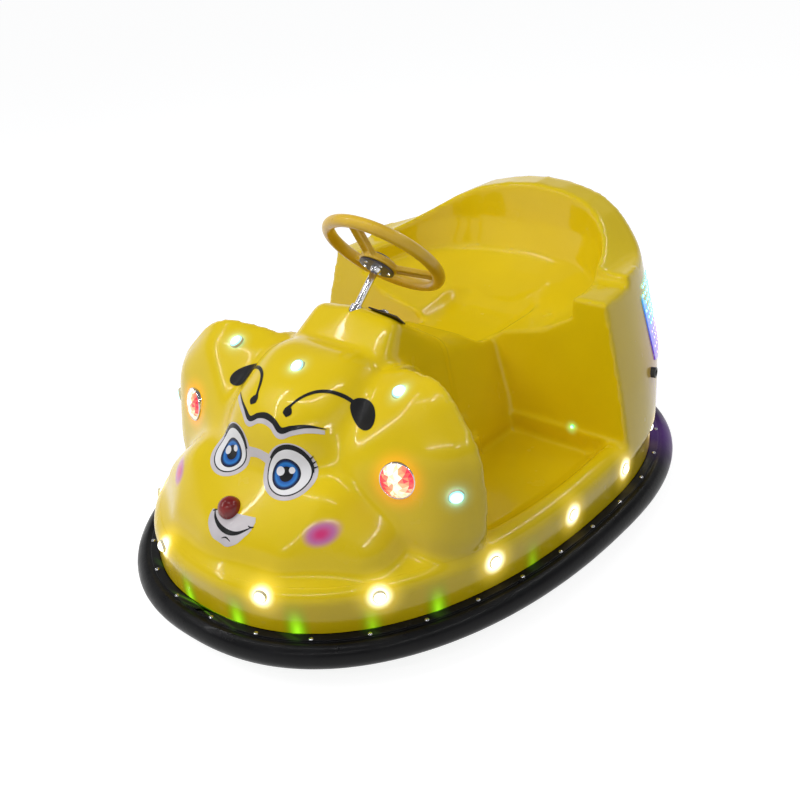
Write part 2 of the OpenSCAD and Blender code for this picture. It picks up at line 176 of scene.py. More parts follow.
def lamp_finish(name, core, edge, strength):
    """Lit lens: white hot in the middle, deeper in colour towards its rim."""
    return lit_finish(name, [(0.6, core), (1.0, edge)], strength, 0.15, 0.5, 260, 0.0002)


def add_glow(tree, shader):
    """Light of the lamps on the surface round them, kept in the piece's own colour attribute."""
    glow = add_node(tree, "ShaderNodeVertexColor", layer_name="lamp_glow")
    tree.links.new(glow.outputs["Color"], shader.inputs["Emission Color"])
    shader.inputs["Emission Strength"].default_value = 1.0


def shell_finish():
    """Yellow moulded shell: gloss coat, faint ripple, cheeks sprayed on in pink, painted green light along
    its foot, light of the lamps on it.
    """
    material, tree, shader = new_finish("yellow_gloss_shell", Specular_IOR_Level=0.2, Coat_Weight=0.38,
                                        Coat_Roughness=0.05)
    body = ramp(tree, noise(tree, 3.2, 4), [(0.28, (0.76, 0.54, 0.003)), (0.5, (0.80, 0.58, 0.004)),
                                          (0.74, (0.84, 0.62, 0.006))])
    specks = ramp(tree, noise(tree, 900, 2), [(0.2, (0.9, 0.9, 0.88)), (0.6, (1, 1, 1))])
    speckled = blend(tree, "MULTIPLY", 0.6, body, specks)
    # pink cheeks and painted green light, mixed over the base colour
    cheeks_and_green_light = add_node(tree, "ShaderNodeVertexColor", layer_name="cheeks_and_painted_green_light")
    painted = blend(tree, "MIX", cheeks_and_green_light.outputs["Alpha"], speckled, cheeks_and_green_light.outputs["Color"])
    tree.links.new(painted, shader.inputs["Base Color"])
    add_glow(tree, shader)
    tree.links.new(stretch(tree, noise(tree, 14, 3), 0.16, 0.28), shader.inputs["Roughness"])
    ripple = dents(tree, shader, noise(tree, 16, 2), 0.0012, 0.30)
    dents(tree, shader, noise(tree, 320, 2), 0.00006, 0.5, ripple)
    return material


shell_yellow = shell_finish()
ring_black = plain_finish("black_ring_rubber", (0.002, 0.002, 0.0025), (0.006, 0.006, 0.007), 0.34,
                          patch=9, grain=150, depth=0.0003, coat=0.04, shine=0.16)
add_glow(ring_black.node_tree, ring_black.node_tree.nodes["Principled BSDF"])
tyre_black = plain_finish("tyre_rubber", (0.012, 0.012, 0.012), (0.03, 0.03, 0.029), 0.75,
                          patch=40, grain=700)
soft_black = plain_finish("satin_black_plastic", (0.012, 0.012, 0.012), (0.028, 0.027, 0.026), 0.42,
                          grain=900)
frame_black = plain_finish("black_frame_paint", (0.014, 0.014, 0.015), (0.045, 0.045, 0.047), 0.38,
                           patch=12, grain=220, depth=0.0004, coat=0.3)
bright_steel = plain_finish("polished_steel", (0.50, 0.50, 0.52), (0.72, 0.72, 0.74), 0.13,
                            metal=1, patch=60, depth=0.000001)
zinc = plain_finish("zinc_plate", (0.34, 0.35, 0.36), (0.58, 0.58, 0.57), 0.38, metal=1, patch=18,
                    grain=300)
plate_grey = plain_finish("grey_hub_plate", (0.05, 0.045, 0.055), (0.11, 0.10, 0.11), 0.35, metal=0.6)
wheel_yellow = plain_finish("moulded_wheel_yellow", (0.66, 0.40, 0.010), (0.77, 0.49, 0.018), 0.33,
                            patch=20, grain=500, depth=0.0002, coat=0.25)
motor_grey = plain_finish("grey_motor_paint", (0.05, 0.055, 0.06), (0.10, 0.105, 0.11), 0.45, patch=20)
hub_white = plain_finish("moulded_hub", (0.55, 0.53, 0.48), (0.70, 0.68, 0.62), 0.5, patch=22)
case_black = plain_finish("battery_case", (0.018, 0.02, 0.022), (0.04, 0.042, 0.045), 0.5, grain=600)
lead_grey = plain_finish("battery_post", (0.3, 0.3, 0.31), (0.45, 0.45, 0.45), 0.45, metal=0.9)
# painted shade: dark brown that stands for the shade inside a slot opening on the cowl
slot_shade_brown = plain_finish("painted_slot_shade", (0.012, 0.004, 0.002), (0.035, 0.012, 0.006), 0.22, coat=0.4)
cherry = plain_finish("cherry_red_gloss", (0.16, 0.004, 0.004), (0.27, 0.010, 0.010), 0.2,
                      patch=60, coat=0.4, shine=0.3)
lamp_rim = plain_finish("lamp_bezel", (0.62, 0.56, 0.36), (0.80, 0.74, 0.52), 0.2, coat=0.5)
button_steel = plain_finish("button_cap", (0.62, 0.62, 0.62), (0.80, 0.80, 0.80), 0.18, metal=1)
lamp_white = lamp_finish("warm_white_lamp", (1, 0.98, 0.86), (1, 0.92, 0.55), 3.0)
lamp_cyan = lamp_finish("cool_white_lamp", (0.80, 1, 1), (0.16, 0.72, 0.68), 1.5)
lamp_green = lamp_finish("green_step_lamp", (0.45, 1, 0.55), (0.10, 0.7, 0.22), 1.6)
dot_cyan = lamp_finish("cyan_light_dot", (0.75, 1, 1), (0.10, 0.75, 0.95), 1.4)
dot_violet = lamp_finish("violet_light_dot", (0.85, 0.80, 1), (0.35, 0.18, 0.95), 1.3)
# lit cut glass: each facet has its own tone in the UV map
lamp_red = lit_finish("red_faceted_lamp", [(0.05, (0.72, 0.012, 0.05)), (0.34, (0.95, 0.07, 0.07)),
                                           (0.58, (1.0, 0.34, 0.16)), (0.78, (1.0, 0.90, 0.62))],
                      0.95, 0.1, 0.4, 240, 0.0001)


def face_paint(name, dark, light):
    """Brushed enamel of the face drawing."""
    return plain_finish(name, dark, light, 0.4, coat=0.06, shine=0.2)


paint_white = face_paint("white_face_paint", (0.76, 0.75, 0.76), (0.84, 0.83, 0.84))
paint_black = face_paint("black_face_paint", (0.004, 0.004, 0.005), (0.010, 0.010, 0.011))
paint_grey = face_paint("pale_grey_face_paint", (0.56, 0.52, 0.54), (0.66, 0.62, 0.64))


def iris_finish():
    """Painted iris: dark rim, lighter band inside it, deep blue in the middle."""
    material, tree, shader = new_finish("blue_iris_paint", Roughness=0.38, Specular_IOR_Level=0.2)
    colour = ramp(tree, from_middle(tree), [(0.0, (0.008, 0.04, 0.20)), (0.5, (0.010, 0.08, 0.36)),
                                          (0.78, (0.025, 0.20, 0.58)), (0.92, (0.005, 0.015, 0.07))])
    tree.links.new(colour, shader.inputs["Base Color"])
    dents(tree, shader, noise(tree, 500, 2), 0.00005)
    return material


def rear_light_finish():
    """Lit panel: cyan above, blue and violet below, with small glints."""
    material, tree, shader = new_finish("rear_light_panel", Emission_Strength=0.8, Roughness=0.15,
                                        Coat_Weight=0.6)
    height = stretch(tree, part_of(tree, in_place(tree), "Z"), 0, 1, 0.29, 0.485)
    wash = ramp(tree, height, [(0.0, (0.12, 0.02, 0.42)), (0.3, (0.05, 0.04, 0.62)),
                               (0.62, (0.02, 0.20, 0.80)), (0.95, (0.05, 0.62, 0.80))])
    cells = add_node(tree, "ShaderNodeTexVoronoi",
                     {"Scale": 75.0, "Randomness": 0.5, "Vector": in_place(tree)}, feature="F1")
    glints = ramp(tree, cells.outputs["Distance"], [(0.05, (1, 1, 1)), (0.3, (0, 0, 0))])
    tree.links.new(blend(tree, "ADD", 0.25, wash, glints), shader.inputs["Emission Color"])
    tree.links.new(wash, shader.inputs["Base Color"])
    return material


iris_blue = iris_finish()
light_blue = rear_light_finish()


# ------------------------------------------------------------------ pieces
def loose(name, bm):
    """A work object that holds a bmesh."""
    mesh = bpy.data.meshes.new(name)
    bm.to_mesh(mesh)
    bm.free()
    obj = bpy.data.objects.new(name, mesh)
    bpy.context.scene.collection.objects.link(obj)
    return obj


def piece(name, bm, material, body, slot, smooth=True, stands_for=()):
    """A finished piece: its body carries it, and it stands for CAD nodes of the same place."""
    return dressed(loose(name, bm), material, body, slot, smooth, stands_for)


def dressed(obj, material, body, slot, smooth=True, stands_for=()):
    """Gives a work object its finish and its place among the pieces."""
    obj.data.materials.clear()
    obj.data.materials.append(material)
    for face in obj.data.polygons:
        face.use_smooth = smooth
        face.material_index = 0
    if smooth:
        obj.data.set_sharp_from_angle(angle=math.radians(42))
    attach(obj, body)
    if stands_for:
        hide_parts(*stands_for)
    return obj


def modify(obj, kind, **settings):
    """Runs one modifier on a work object and keeps its result."""
    modifier = obj.modifiers.new(kind.lower(), kind)
    for key, value in settings.items():
        setattr(modifier, key, value)
    ready = obj.evaluated_get(bpy.context.evaluated_depsgraph_get())
    mesh = bpy.data.meshes.new_from_object(ready)
    obj.modifiers.clear()
    old, obj.data = obj.data, mesh
    bpy.data.meshes.remove(old)


def cut(obj, bm, how="DIFFERENCE", mark=1):
    """Boolean with a cutter whose faces are marked by their material index."""
    for face in bm.faces:
        face.material_index = mark
    cutter = loose("cutter", bm)
    for work in (obj, cutter):
        while len(work.data.materials) < 3:
            work.data.materials.append(None)
    modify(obj, "BOOLEAN", operation=how, object=cutter, solver="MANIFOLD")
    bpy.data.objects.remove(cutter)


def joined(parts):
    """One bmesh from several, which are used up."""
    total = bmesh.new()
    for part in parts:
        mesh = bpy.data.meshes.new("part")
        part.to_mesh(mesh)
        part.free()
        total.from_mesh(mesh)
        bpy.data.meshes.remove(mesh)
    return total


def facing_out(bm):
    """Closes the seams of a shape and turns its faces outwards."""
    bmesh.ops.remove_doubles(bm, verts=bm.verts[:], dist=1e-6)
    bmesh.ops.recalc_face_normals(bm, faces=bm.faces[:])
    return bm


def aim(at, direction):
    """Matrix that puts local z on a direction and keeps local y level, at a place in millimetres."""
    x, y, z = Vector(direction).normalized()
    return (Matrix.Translation(Vector(at) * MM) @ Matrix.Rotation(math.atan2(y, x), 4, "Z")
            @ Matrix.Rotation(math.acos(z), 4, "Y"))


def turned(profile, steps=48, at=None):
    """A profile of [radius, height] turned about local z."""
    bm = bmesh.new()
    dots = [bm.verts.new((r * MM, 0, z * MM)) for r, z in profile]
    lines = [bm.edges.new(pair) for pair in zip(dots, dots[1:])]
    bmesh.ops.spin(bm, geom=dots + lines, cent=(0, 0, 0), axis=(0, 0, 1), angle=math.tau, steps=steps,
                   use_merge=True)
    facing_out(bm)
    if at:
        bm.transform(at)
    return bm


def rounded(profile, radius, steps=3):
    """Rounds the corners of a [radius, height] profile; the first and last dots stay."""
    dots = [Vector(p) for p in profile]
    out = [dots[0]]
    for a, b, c in zip(dots, dots[1:], dots[2:]):
        reach = min(radius, (a - b).length * 0.45, (c - b).length * 0.45)
        start, end = b + (a - b).normalized() * reach, b + (c - b).normalized() * reach
        for i in range(steps + 1):
            t = i / steps
            out.append(start * (1 - t) ** 2 + b * 2 * t * (1 - t) + end * t * t)
    out.append(dots[-1])
    return [tuple(p) for p in out]


def solid(profile, radius, steps=48, at=None):
    """A profile with rounded corners, turned about local z."""
    return turned(rounded(profile, radius), steps, at)


def hollow(profile, radius, steps=48, at=None):
    """The same with a hole through it: its profile goes on to where it began."""
    return turned(rounded(profile, radius) + [profile[0]], steps, at)


def bevelled(bm, radius, segments=2):
    """Rounds every edge of a shape."""
    bmesh.ops.bevel(bm, geom=bm.edges[:], offset=radius * MM, segments=segments, affect="EDGES", profile=0.5,
                    material=-1)
    return bm


def block(low, high, radius=1.0, segments=2, at=None):
    """A box between two corners in millimetres, with rounded edges."""
    bm = bmesh.new()
    low, high = Vector(low) * MM, Vector(high) * MM
    bmesh.ops.create_cube(bm, size=1, matrix=Matrix.Translation((low + high) / 2)
                          @ Matrix.Diagonal((*(high - low), 1)))
    if radius:
        bevelled(bm, radius, segments)
    if at:
        bm.transform(at)
    return bm


# ------------------------------------------------------------------ outlines
SIDES = (("left", 1), ("right", -1))
RING_HALF, RING_FRONT, RING_REAR, WIDE_Y = 477, 724, 530, 97
RING_POWERS = (2.29, 2.35)
RING_TOP, SEAM, ARM_TOP, SEAT_Z, FLOOR_Z = 100, 190, 492, 372, 150
SEAT_MIDDLE, SEAT_AHEAD, BUCKET_RUN = 150, 500, 330
FAR = 900


def oval_dot(angle, half, front, rear, front_power, rear_power, middle):
    """Dot of an oval at an angle from the front: half width, two reaches and the power of each end."""
    c, s = math.cos(angle), math.sin(angle)
    power = front_power if c > 0 else rear_power
    x = half * math.copysign(abs(s) ** (2 / power), s)
    return x, middle - (front if c > 0 else rear) * math.copysign(abs(c) ** (2 / power), c)


def ring_dot(angle, out):
    """Dot of the ring's screw line, moved outwards."""
    return oval_dot(angle, RING_HALF + out, RING_FRONT + out, RING_REAR + out, *RING_POWERS, WIDE_Y)


def seat_dot(angle, half, back_y, power, forward=0):
    """Dot of a seat outline, slid forward."""
    x, y = oval_dot(angle, half, SEAT_AHEAD, back_y - SEAT_MIDDLE, 2, power, SEAT_MIDDLE)
    return x, y - forward


def loop(bm, dot, z, count):
    """A closed loop of an outline at a height."""
    made = bmesh.ops.create_circle(bm, segments=count, radius=1)["verts"]
    for i, vert in enumerate(made):
        x, y = dot((i + 0.5) * math.tau / count)
        vert.co = (x * MM, y * MM, z * MM)
    return made


def hull(bm):
    """Wraps the points of a shape."""
    bmesh.ops.delete(bm, geom=bm.edges[:], context="EDGES_FACES")
    bmesh.ops.convex_hull(bm, input=bm.verts[:])
    bmesh.ops.delete(bm, geom=[v for v in bm.verts if not v.link_faces], context="VERTS")
    return facing_out(bm)


def stack(rows, dot, count=144):
    """Hull of outlines: each row is the outline's own values and then its height."""
    bm = bmesh.new()
    for *values, z in rows:
        loop(bm, lambda angle: dot(angle, *values), z, count)
    return hull(bm)


def lump(rows):
    """Hull of balls of [x, y, z, radius]."""
    bm = bmesh.new()
    for x, y, z, r in rows:
        bmesh.ops.create_icosphere(bm, subdivisions=4, radius=r * MM,
                                   matrix=Matrix.Translation(Vector((x, y, z)) * MM))
    return hull(bm)


def other(rows):
    """The balls of the other side."""
    return [(-x, y, z, r) for x, y, z, r in rows]


def across(rows):
    """One lump across the middle."""
    return lump(list(rows) + other(rows))


def prism(points, low, high, along="Z"):
    """An outline drawn out along an axis between two places on it."""
    places = {"Z": lambda a, b, c: (a, b, c), "Y": lambda a, b, c: (a, c, b), "X": lambda a, b, c: (c, a, b)}
    place = places[along]
    bm = bmesh.new()
    face = bm.faces.new([bm.verts.new(Vector(place(a, b, low)) * MM) for a, b in points])
    grown = bmesh.ops.extrude_face_region(bm, geom=[face])["geom"]
    bmesh.ops.translate(bm, verts=[g for g in grown if isinstance(g, bmesh.types.BMVert)],
                        vec=Vector(place(0, 0, high - low)) * MM)
    bmesh.ops.recalc_face_normals(bm, faces=bm.faces[:])
    return bm


def trim(bm, at, normal, close=True):
    """Cuts away what lies beyond a plane, and closes the cut."""
    bmesh.ops.bisect_plane(bm, geom=bm.verts[:] + bm.edges[:] + bm.faces[:], plane_co=Vector(at) * MM,
                           plane_no=normal, clear_outer=True)
    if close:
        bmesh.ops.holes_fill(bm, edges=[e for e in bm.edges if e.is_boundary])
        bmesh.ops.recalc_face_normals(bm, faces=bm.faces[:])
    return bm


# ------------------------------------------------------------------ body shells
# skirt and foot of the hood: rows of [out from the screw line, z]
SKIRT = [(-13.8, 60), (-14, 165), (-17, 178), (-25, 187), (-38, 193), (-60, 196)]
HOOD_FOOT = [(-30.7, 150), (-31, 190), (-36, 194), (-48, 198), (-70, 201), (-100, 202)]
# lumps: rows of [x, y, z, radius]
DOME = [(30, -290, 330, 145), (60, -235, 390, 108)]
MUZZLE = [(20, -488, 188, 88), (120, -468, 188, 88), (225, -396, 190, 87), (60, -415, 205, 117),
          (50, -395, 225, 110), (145, -390, 218, 117)]
FENDER = [(312, -228, 345, 107), (280, -212, 388, 102), (180, -190, 375, 100), (302, -250, 230, 113),
          (150, -290, 285, 108)]
COWL = [(88, -118, 505, 28), (0, -118, 515, 28), (90, -170, 440, 50), (75, 10, 395, 45),
        (110, -110, 190, 45), (110, 10, 190, 45)]
SPINE = [(115, 60, 170, 45), (115, 250, 170, 45), (65, 10, 385, 45), (60, 120, 330, 48), (60, 250, 320, 48)]
POMMEL = [(66, 186, 350, 40), (40, 250, 345, 42), (95, 190, 170, 60)]
DISH = [(60, 200, 440, 85), (60, 330, 440, 85)]
# outside and inside of the seat: rows of [half width, back y, power, z]
SEAT = [(461, 611, 2.4, 160), (446, 612, 2.7, 230), (431, 615, 3.0, 300), (411, 616, 2.9, 380),
        (388, 617, 2.75, 450), (368, 618, 2.7, 510), (347, 618, 3.0, 620)]
BUCKET = [(311, 548, 2.9, 700), (306, 535, 2.8, 520), (301, 512, 2.7, 446), (235, 470, 2.5, 410),
          (150, 430, 2.4, 387), (90, 400, 2.2, SEAT_Z)]
# top of the seat back: rows of [x, z]
ARCH = [(450, 512), (371, 512), (343, 509), (313, 510), (283, 526), (251, 545), (209, 571), (155, 594),
        (80, 609), (0, 616)]
# front wall and floor of a footwell: rows of [out from the screw line, z]
FOOTWELL = [(-115, FLOOR_Z), (-88, FLOOR_Z + 10), (-58, SEAM + 4), (-50, 500)]
BACK_Y, FRONT_Y, FRONT_LEAN = 345, 198, math.radians(6)
# rear rims of the fenders, seen from above
RIM_IN, RIM_OUT = Vector((155, -172)), Vector((600, -315))
RIM_WAY = Vector((-(RIM_OUT - RIM_IN).y, (RIM_OUT - RIM_IN).x)).normalized()
HOOD_MIDDLE = 170
WALL, GRAIN = 5, 5.6


def ease(value, low, high):
    """Rises smoothly from 0 at low to 1 at high."""
    t = min(1, max(0, (value - low) / (high - low)))
    return t * t * (3 - 2 * t)


def hood_room(back, cowl_back, reach=600):
    """Plan of the hood; its back edges lie back by some millimetres."""
    run = (RIM_OUT - RIM_IN).normalized()
    start = RIM_IN + RIM_WAY * back
    inner = start + run * (HOOD_MIDDLE - start.x) / run.x
    outer = start + run * (reach - start.x) / run.x
    half = [(HOOD_MIDDLE, cowl_back), tuple(inner), tuple(outer), (reach, -800)]
    return half + [(-x, y) for x, y in reversed(half)]


def ahead_of_rim(point):
    """How far a point lies ahead of its fender's rear rim, in millimetres."""
    return -(Vector((abs(point.x), point.y)) / MM - RIM_IN).dot(RIM_WAY)


def remesh(obj, size=GRAIN):
    """Melts the parts of a form into one skin."""
    modify(obj, "REMESH", mode="VOXEL", voxel_size=size * MM)


def soften(obj, times, weight=None):
    """Smooths a remeshed form; weight says how much of it each point takes."""
    if weight:
        group = obj.vertex_groups.new(name="soft")
        for vert in obj.data.vertices:
            group.add([vert.index], weight(vert.co / MM), "REPLACE")
    modify(obj, "SMOOTH", factor=0.5, iterations=times, vertex_group="soft" if weight else "")
    obj.vertex_groups.clear()


def gathered(name, *objs):
    """One object from several, which are used up."""
    total = bmesh.new()
    for obj in objs:
        total.from_mesh(obj.data)
        bpy.data.objects.remove(obj)
    return loose(name, total)


def swell(obj, height):
    """Moves a skin out along its own normals by a height in millimetres at each point."""
    outward = [vert.normal.copy() for vert in obj.data.vertices]
    for vert, way in zip(obj.data.vertices, outward):
        vert.co += way * height(vert.co) * MM


def lip_height(point):
    """Raised lip along the rear rims of the fenders."""
    ahead = ahead_of_rim(point)
    if not -40 < ahead < 34:
        return 0
    return 5 * (1 - ease(ahead, 15, 27)) * ease(abs(point.x) / MM, 168, 200) * ease(point.z / MM, 200, 240)


def front_form():
    """Dome, muzzle, fenders and cowl in one, cut off behind the rims, with the raised lip on the rims."""
    form = loose("front", joined([across(DOME), across(MUZZLE), lump(FENDER), lump(other(FENDER)),
                                  across(COWL), stack(HOOD_FOOT, ring_dot)]))
    remesh(form)
    soften(form, 6)
    swell(form, lip_height)
    cut(form, prism(hood_room(0, 60), 0, FAR), "INTERSECT")
    return form


def seat_form():
    """Arms and wrap-round back: an outer stack, its top cut to the arch, with the bucket sunk into it."""
    outside = stack(SEAT, seat_dot)
    trim(outside, (0, FRONT_Y, 200), (0, -math.cos(FRONT_LEAN), math.sin(FRONT_LEAN)))
    form = loose("seat", outside)
    cut(form, block((-600, -200, ARM_TOP), (600, BACK_Y, FAR), 0))
    back = ARCH + [(-x, z) for x, z in reversed(ARCH[:-1])]
    above = [(520, ARM_TOP)] + back + [(-520, ARM_TOP), (-520, FAR), (520, FAR)]
    cut(form, prism(above, BACK_Y, 800, along="Y"))
    cut(form, bucket_form())
    cut(form, across(DISH))
    return form


def bucket_form():
    """Inside of the seat, drawn forward past the fronts of the arms."""
    rows = [(*values, forward, z) for forward in (0, BUCKET_RUN) for *values, z in BUCKET]
    return stack(rows, seat_dot, 96)


def spine_form():
    """Centre spine between the footwells, with the pommel at the front of the seat."""
    form = loose("spine", joined([across(SPINE)]))
    cut(form, across(DISH))
    pommel = loose("pommel", joined([across(POMMEL)]))
    cut(pommel, across(DISH))
    return gathered("spine", form, pommel)


def skirt_form():
    """Skirt and sills: one stack with the footwells sunk into it."""
    form = loose("skirt", stack(SKIRT, ring_dot))
    for low, high in (((-500, -1), (500, 190)), ((112, -215), (500, 0)), ((-500, -215), (-112, 0))):
        well = stack(FOOTWELL, ring_dot)
        for at, normal in ((low, (-1, 0, 0)), (low, (0, -1, 0)), (high, (1, 0, 0)), (high, (0, 1, 0))):
            trim(well, (*at, 0), normal)
        cut(form, well)
    return form


def softness(point):
    """Full on the rounded forms, little along the flat fronts of the arms and the sills."""
    x, y, z = point
    if 170 < y < 260 and abs(x) > 250 and z > 200:
        return 0.35
    return 1.0 if z > 205 else 0.6


def crease_fill(point):
    """Full where the muzzle meets the skirt and over the hood, less on the cowl; none by the rims."""
    x, y, z = point
    shelf = ease(-y, 230, 290) * (1 - ease(abs(z - 212), 26, 48)) * 0.6
    cowl = (1 - ease(abs(x), 110, 150)) * (1 - ease(y, -10, 20)) * ease(z, 400, 440)
    hood = ease(z, 215, 250) * (1 - 0.65 * cowl)
    return max(shelf, hood) * ease(ahead_of_rim(point * MM), 28, 60) * ease(-y, -10, 20)


def eye_fill(point):
    """Full round the eyes, where the brow runs into the muzzle."""
    x, y, z = point
    return ease(-y, 300, 340) * (1 - ease(abs(x), 135, 180)) * ease(z, 245, 285) * (1 - ease(z, 400, 440))


body = gathered("body", front_form(), seat_form(), spine_form(), skirt_form())
remesh(body)
soften(body, 12, softness)
soften(body, 60, crease_fill)
soften(body, 90, eye_fill)


def mesh_of(obj):
    """A bmesh of an object's mesh."""
    bm = bmesh.new()
    bm.from_mesh(obj.data)
    return bm


skin = BVHTree.FromBMesh(mesh_of(body))


def copy_of(obj, name):
    """A work object with the same mesh."""
    twin = loose(name, joined([]))
    twin.data = obj.data.copy()
    return twin


def drop_marked(obj, mark=2):
    """Deletes the faces that a cutter left with its mark."""
    bm = mesh_of(obj)
    bmesh.ops.delete(bm, geom=[f for f in bm.faces if f.material_index == mark], context="FACES")
    bm.to_mesh(obj.data)
    bm.free()


def open_below(obj, z):
    """Takes away what lies below a height and leaves the skin open there."""
    bm = trim(mesh_of(obj), (0, 0, z), (0, 0, -1), close=False)
    bm.to_mesh(obj.data)
    bm.free()


def thicken(obj):
    """Gives a skin its wall, with fewer faces on the inside."""
    obj.vertex_groups.new(name="inner")
    modify(obj, "SOLIDIFY", thickness=WALL * MM, offset=-1, shell_vertex_group="inner")
    modify(obj, "DECIMATE", ratio=0.62, vertex_group="inner", vertex_group_factor=1000)
    obj.vertex_groups.clear()


# ------------------------------------------------------------------ light of the lamps on the surfaces
SKIRT_OUT = -14


def run_along_skirt(run, out=SKIRT_OUT, steps=720):
    """Place and outward direction on the skirt at a length run along it from the front."""
    here = Vector(ring_dot(0, out))
    for i in range(steps):
        there = Vector(ring_dot((i + 1) * math.tau / steps, out))
        length = (there - here).length
        if run <= length:
            way = (there - here) / length
            return here + way * run, Vector((way.y, -way.x))
        run -= length
        here = there


# lamps along the skirt: rows of [run from the front, z]
SKIRT_LAMPS = [(145, 176), (367, 166), (605, 154), (826, 150), (1032, 150), (1226, 150), (1412, 154),
               (1600, 158)]
# lamps and socket: place and the way each faces
HOOD_LAMPS = [(0, -297, 488, 0, -0.55, 0.83), (227, -254, 468, 0.1, -0.45, 0.88),
              (-227, -254, 468, -0.1, -0.45, 0.88), (390, -309, 322, 0.72, -0.66, -0.1),
              (-390, -309, 322, -0.72, -0.66, -0.1)]
SIDE_LAMP = (287, -350, 345, 0.32, -0.92, 0.22)
STEP_LAMP = (318, 198, 198, 0, -1, 0.1)
SOCKET = (421, 370, 285, 0.975, 0.22, 0.02)
NOSE, NOSE_R = (0, -516, 276), 23.8
# painted streaks of green light at the foot of the skirt: rows of [run from the front, power]
LIME_SPOTS = [(-52, 0.8), (84, 0.9), (208, 1.0), (348, 0.45), (476, 0.8), (700, 0.35)]
WARM, WHITE_HOT, COOL, AQUA = (1.0, 0.72, 0.10), (1.0, 0.95, 0.72), (0.30, 0.95, 0.80), (0.10, 0.75, 0.62)
ORANGE, LIME, GREEN, VIOLET = (1.0, 0.12, 0.005), (0.34, 1.0, 0.02), (0.15, 0.9, 0.25), (0.16, 0.03, 0.36)


def glows():
    """Place, colour, half width, half height and power of each patch of lamp light on the surface."""
    for side in (1, -1):
        for run, z in SKIRT_LAMPS:
            spot, _ = run_along_skirt(run)
            yield (side * spot.x, spot.y, z), WHITE_HOT, 30, 30, 6.5
            yield (side * spot.x, spot.y, z), WARM, 62, 62, 1.0
        x, y, z, *_ = SIDE_LAMP
        yield (side * x, y, z), ORANGE, 72, 72, 1.6
        x, y, z, *_ = STEP_LAMP
        yield (side * x, y, z), GREEN, 20, 20, 1.2
        yield (side * 450, 420, 330), VIOLET, 150, 260, 0.55
        yield (side * 480, 480, 110), VIOLET, 200, 90, 0.8
    for x, y, z, *_ in HOOD_LAMPS:
        yield (x, y, z), COOL, 25, 25, 2.4
        yield (x, y, z), AQUA, 42, 42, 0.5
    for spot, power in lime_spots():
        yield (spot.x, spot.y, 104), LIME, 22, 60, power


def lime_spots():
    """Place and power of each painted streak of green light."""
    for run, power in LIME_SPOTS:
        spot, _ = run_along_skirt(abs(run))
        yield Vector((math.copysign(spot.x, run), spot.y)), power


def light_up(obj):
    """Keeps the lamps' light on a piece in its own colour attribute."""
    layer = obj.data.color_attributes.new("lamp_glow", "FLOAT_COLOR", "POINT")
    verts = obj.data.vertices
    total = [Vector((0, 0, 0)) for _ in verts]
    tree = KDTree(len(verts))
    for vert in verts:
        tree.insert(vert.co, vert.index)
    tree.balance()
    for place, colour, wide, high, power in glows():
        place = Vector(place) * MM
        for co, index, _ in tree.find_range(place, max(wide, high) * MM):
            away = co - place
            reach = Vector((away.x / wide, away.y / wide, away.z / high)).length / MM
            if reach < 1:
                total[index] += Vector(colour) * power * (1 - reach) ** 2
    for spot, light in zip(layer.data, total):
        spot.color = (*light, 1)


CHEEK_SPOT, CHEEK_WIDE, CHEEK_HIGH = Vector((203, -479, 270)), 29, 21
# colour of the painted green light at the foot of the skirt
PAINTED_GREEN_LIGHT = Vector((0.42, 0.82, 0.008))


def cheeks_and_painted_green_light(obj):
    """Soft pink cheeks, and painted green light along the foot, kept in the piece's own colour attribute."""
    layer = obj.data.color_attributes.new("cheeks_and_painted_green_light", "FLOAT_COLOR", "POINT")
    streaks = list(lime_spots())
    for vert, spot in zip(obj.data.vertices, layer.data):
        x, y, z = vert.co / MM
        away = Vector((abs(x), y, z)) - CHEEK_SPOT
        reach = math.hypot(away.x / CHEEK_WIDE, away.z / CHEEK_HIGH) if y < -300 else 2
        core = 1 - ease(reach, 0.1, 0.75)
        colour = Vector((0.58, 0.16, 0.46)).lerp(Vector((0.74, 0.01, 0.22)), core)
        spot.color = (*colour, 0.94 * (1 - ease(reach, 0.6, 1.15)))
        # painted green light: lime streaks over the base colour at the foot of the skirt
        if z < 195:
            near = max(power * (1 - ease((Vector((x, y)) - at).length, 6, 32)) for at, power in streaks)
            spot.color = (*PAINTED_GREEN_LIGHT, near * (1 - ease(z, 105, 180)) * 0.9)


# place and lean of the steering wheel; its shaft runs down local z
WHEEL, LEAN = Vector((0, -15, 622)), 48.7
AT_WHEEL = Matrix.Translation(WHEEL * MM) @ Matrix.Rotation(math.radians(-LEAN), 4, "X")


def make_hood():
    """Hood shell: the front of the body above the seam, with a hole for the shaft."""
    hood = copy_of(body, "hood_shell")
    cut(hood, prism(hood_room(6, 12.1), SEAM + 0.4, FAR), "INTERSECT", mark=2)
    cut(hood, solid([(0, -250), (14, -250), (14, -100), (0, -100)], 0.6, at=AT_WHEEL), mark=2)
    drop_marked(hood)
    thicken(hood)
    light_up(hood)
    cheeks_and_painted_green_light(hood)
    dressed(hood, shell_yellow, "root", "shell_yellow", stands_for=["hood_shell"])


def make_tub():
    """Tub shell: the rest of the body, open below and under the hood."""
    tub = copy_of(body, "tub_shell")
    cut(tub, prism(hood_room(6.4, 12.5), SEAM, FAR))
    cut(tub, prism(deck_opening(), 130, 230), mark=2)
    cut(tub, block((-95, -260, 130), (95, 10, 230), 0), mark=2)
    drop_marked(tub)
    open_below(tub, 97)
    thicken(tub)
    light_up(tub)
    cheeks_and_painted_green_light(tub)
    dressed(tub, shell_yellow, "root", "shell_yellow", stands_for=["tub_shell"])


def deck_opening(back_y=-240, out=-50, count=96):
    """Front part of an outline that lies inside the skirt."""
    dots = [ring_dot((i + 0.5) * math.tau / count, out) for i in range(count)]
    return [dot for dot in dots if dot[1] < back_y]


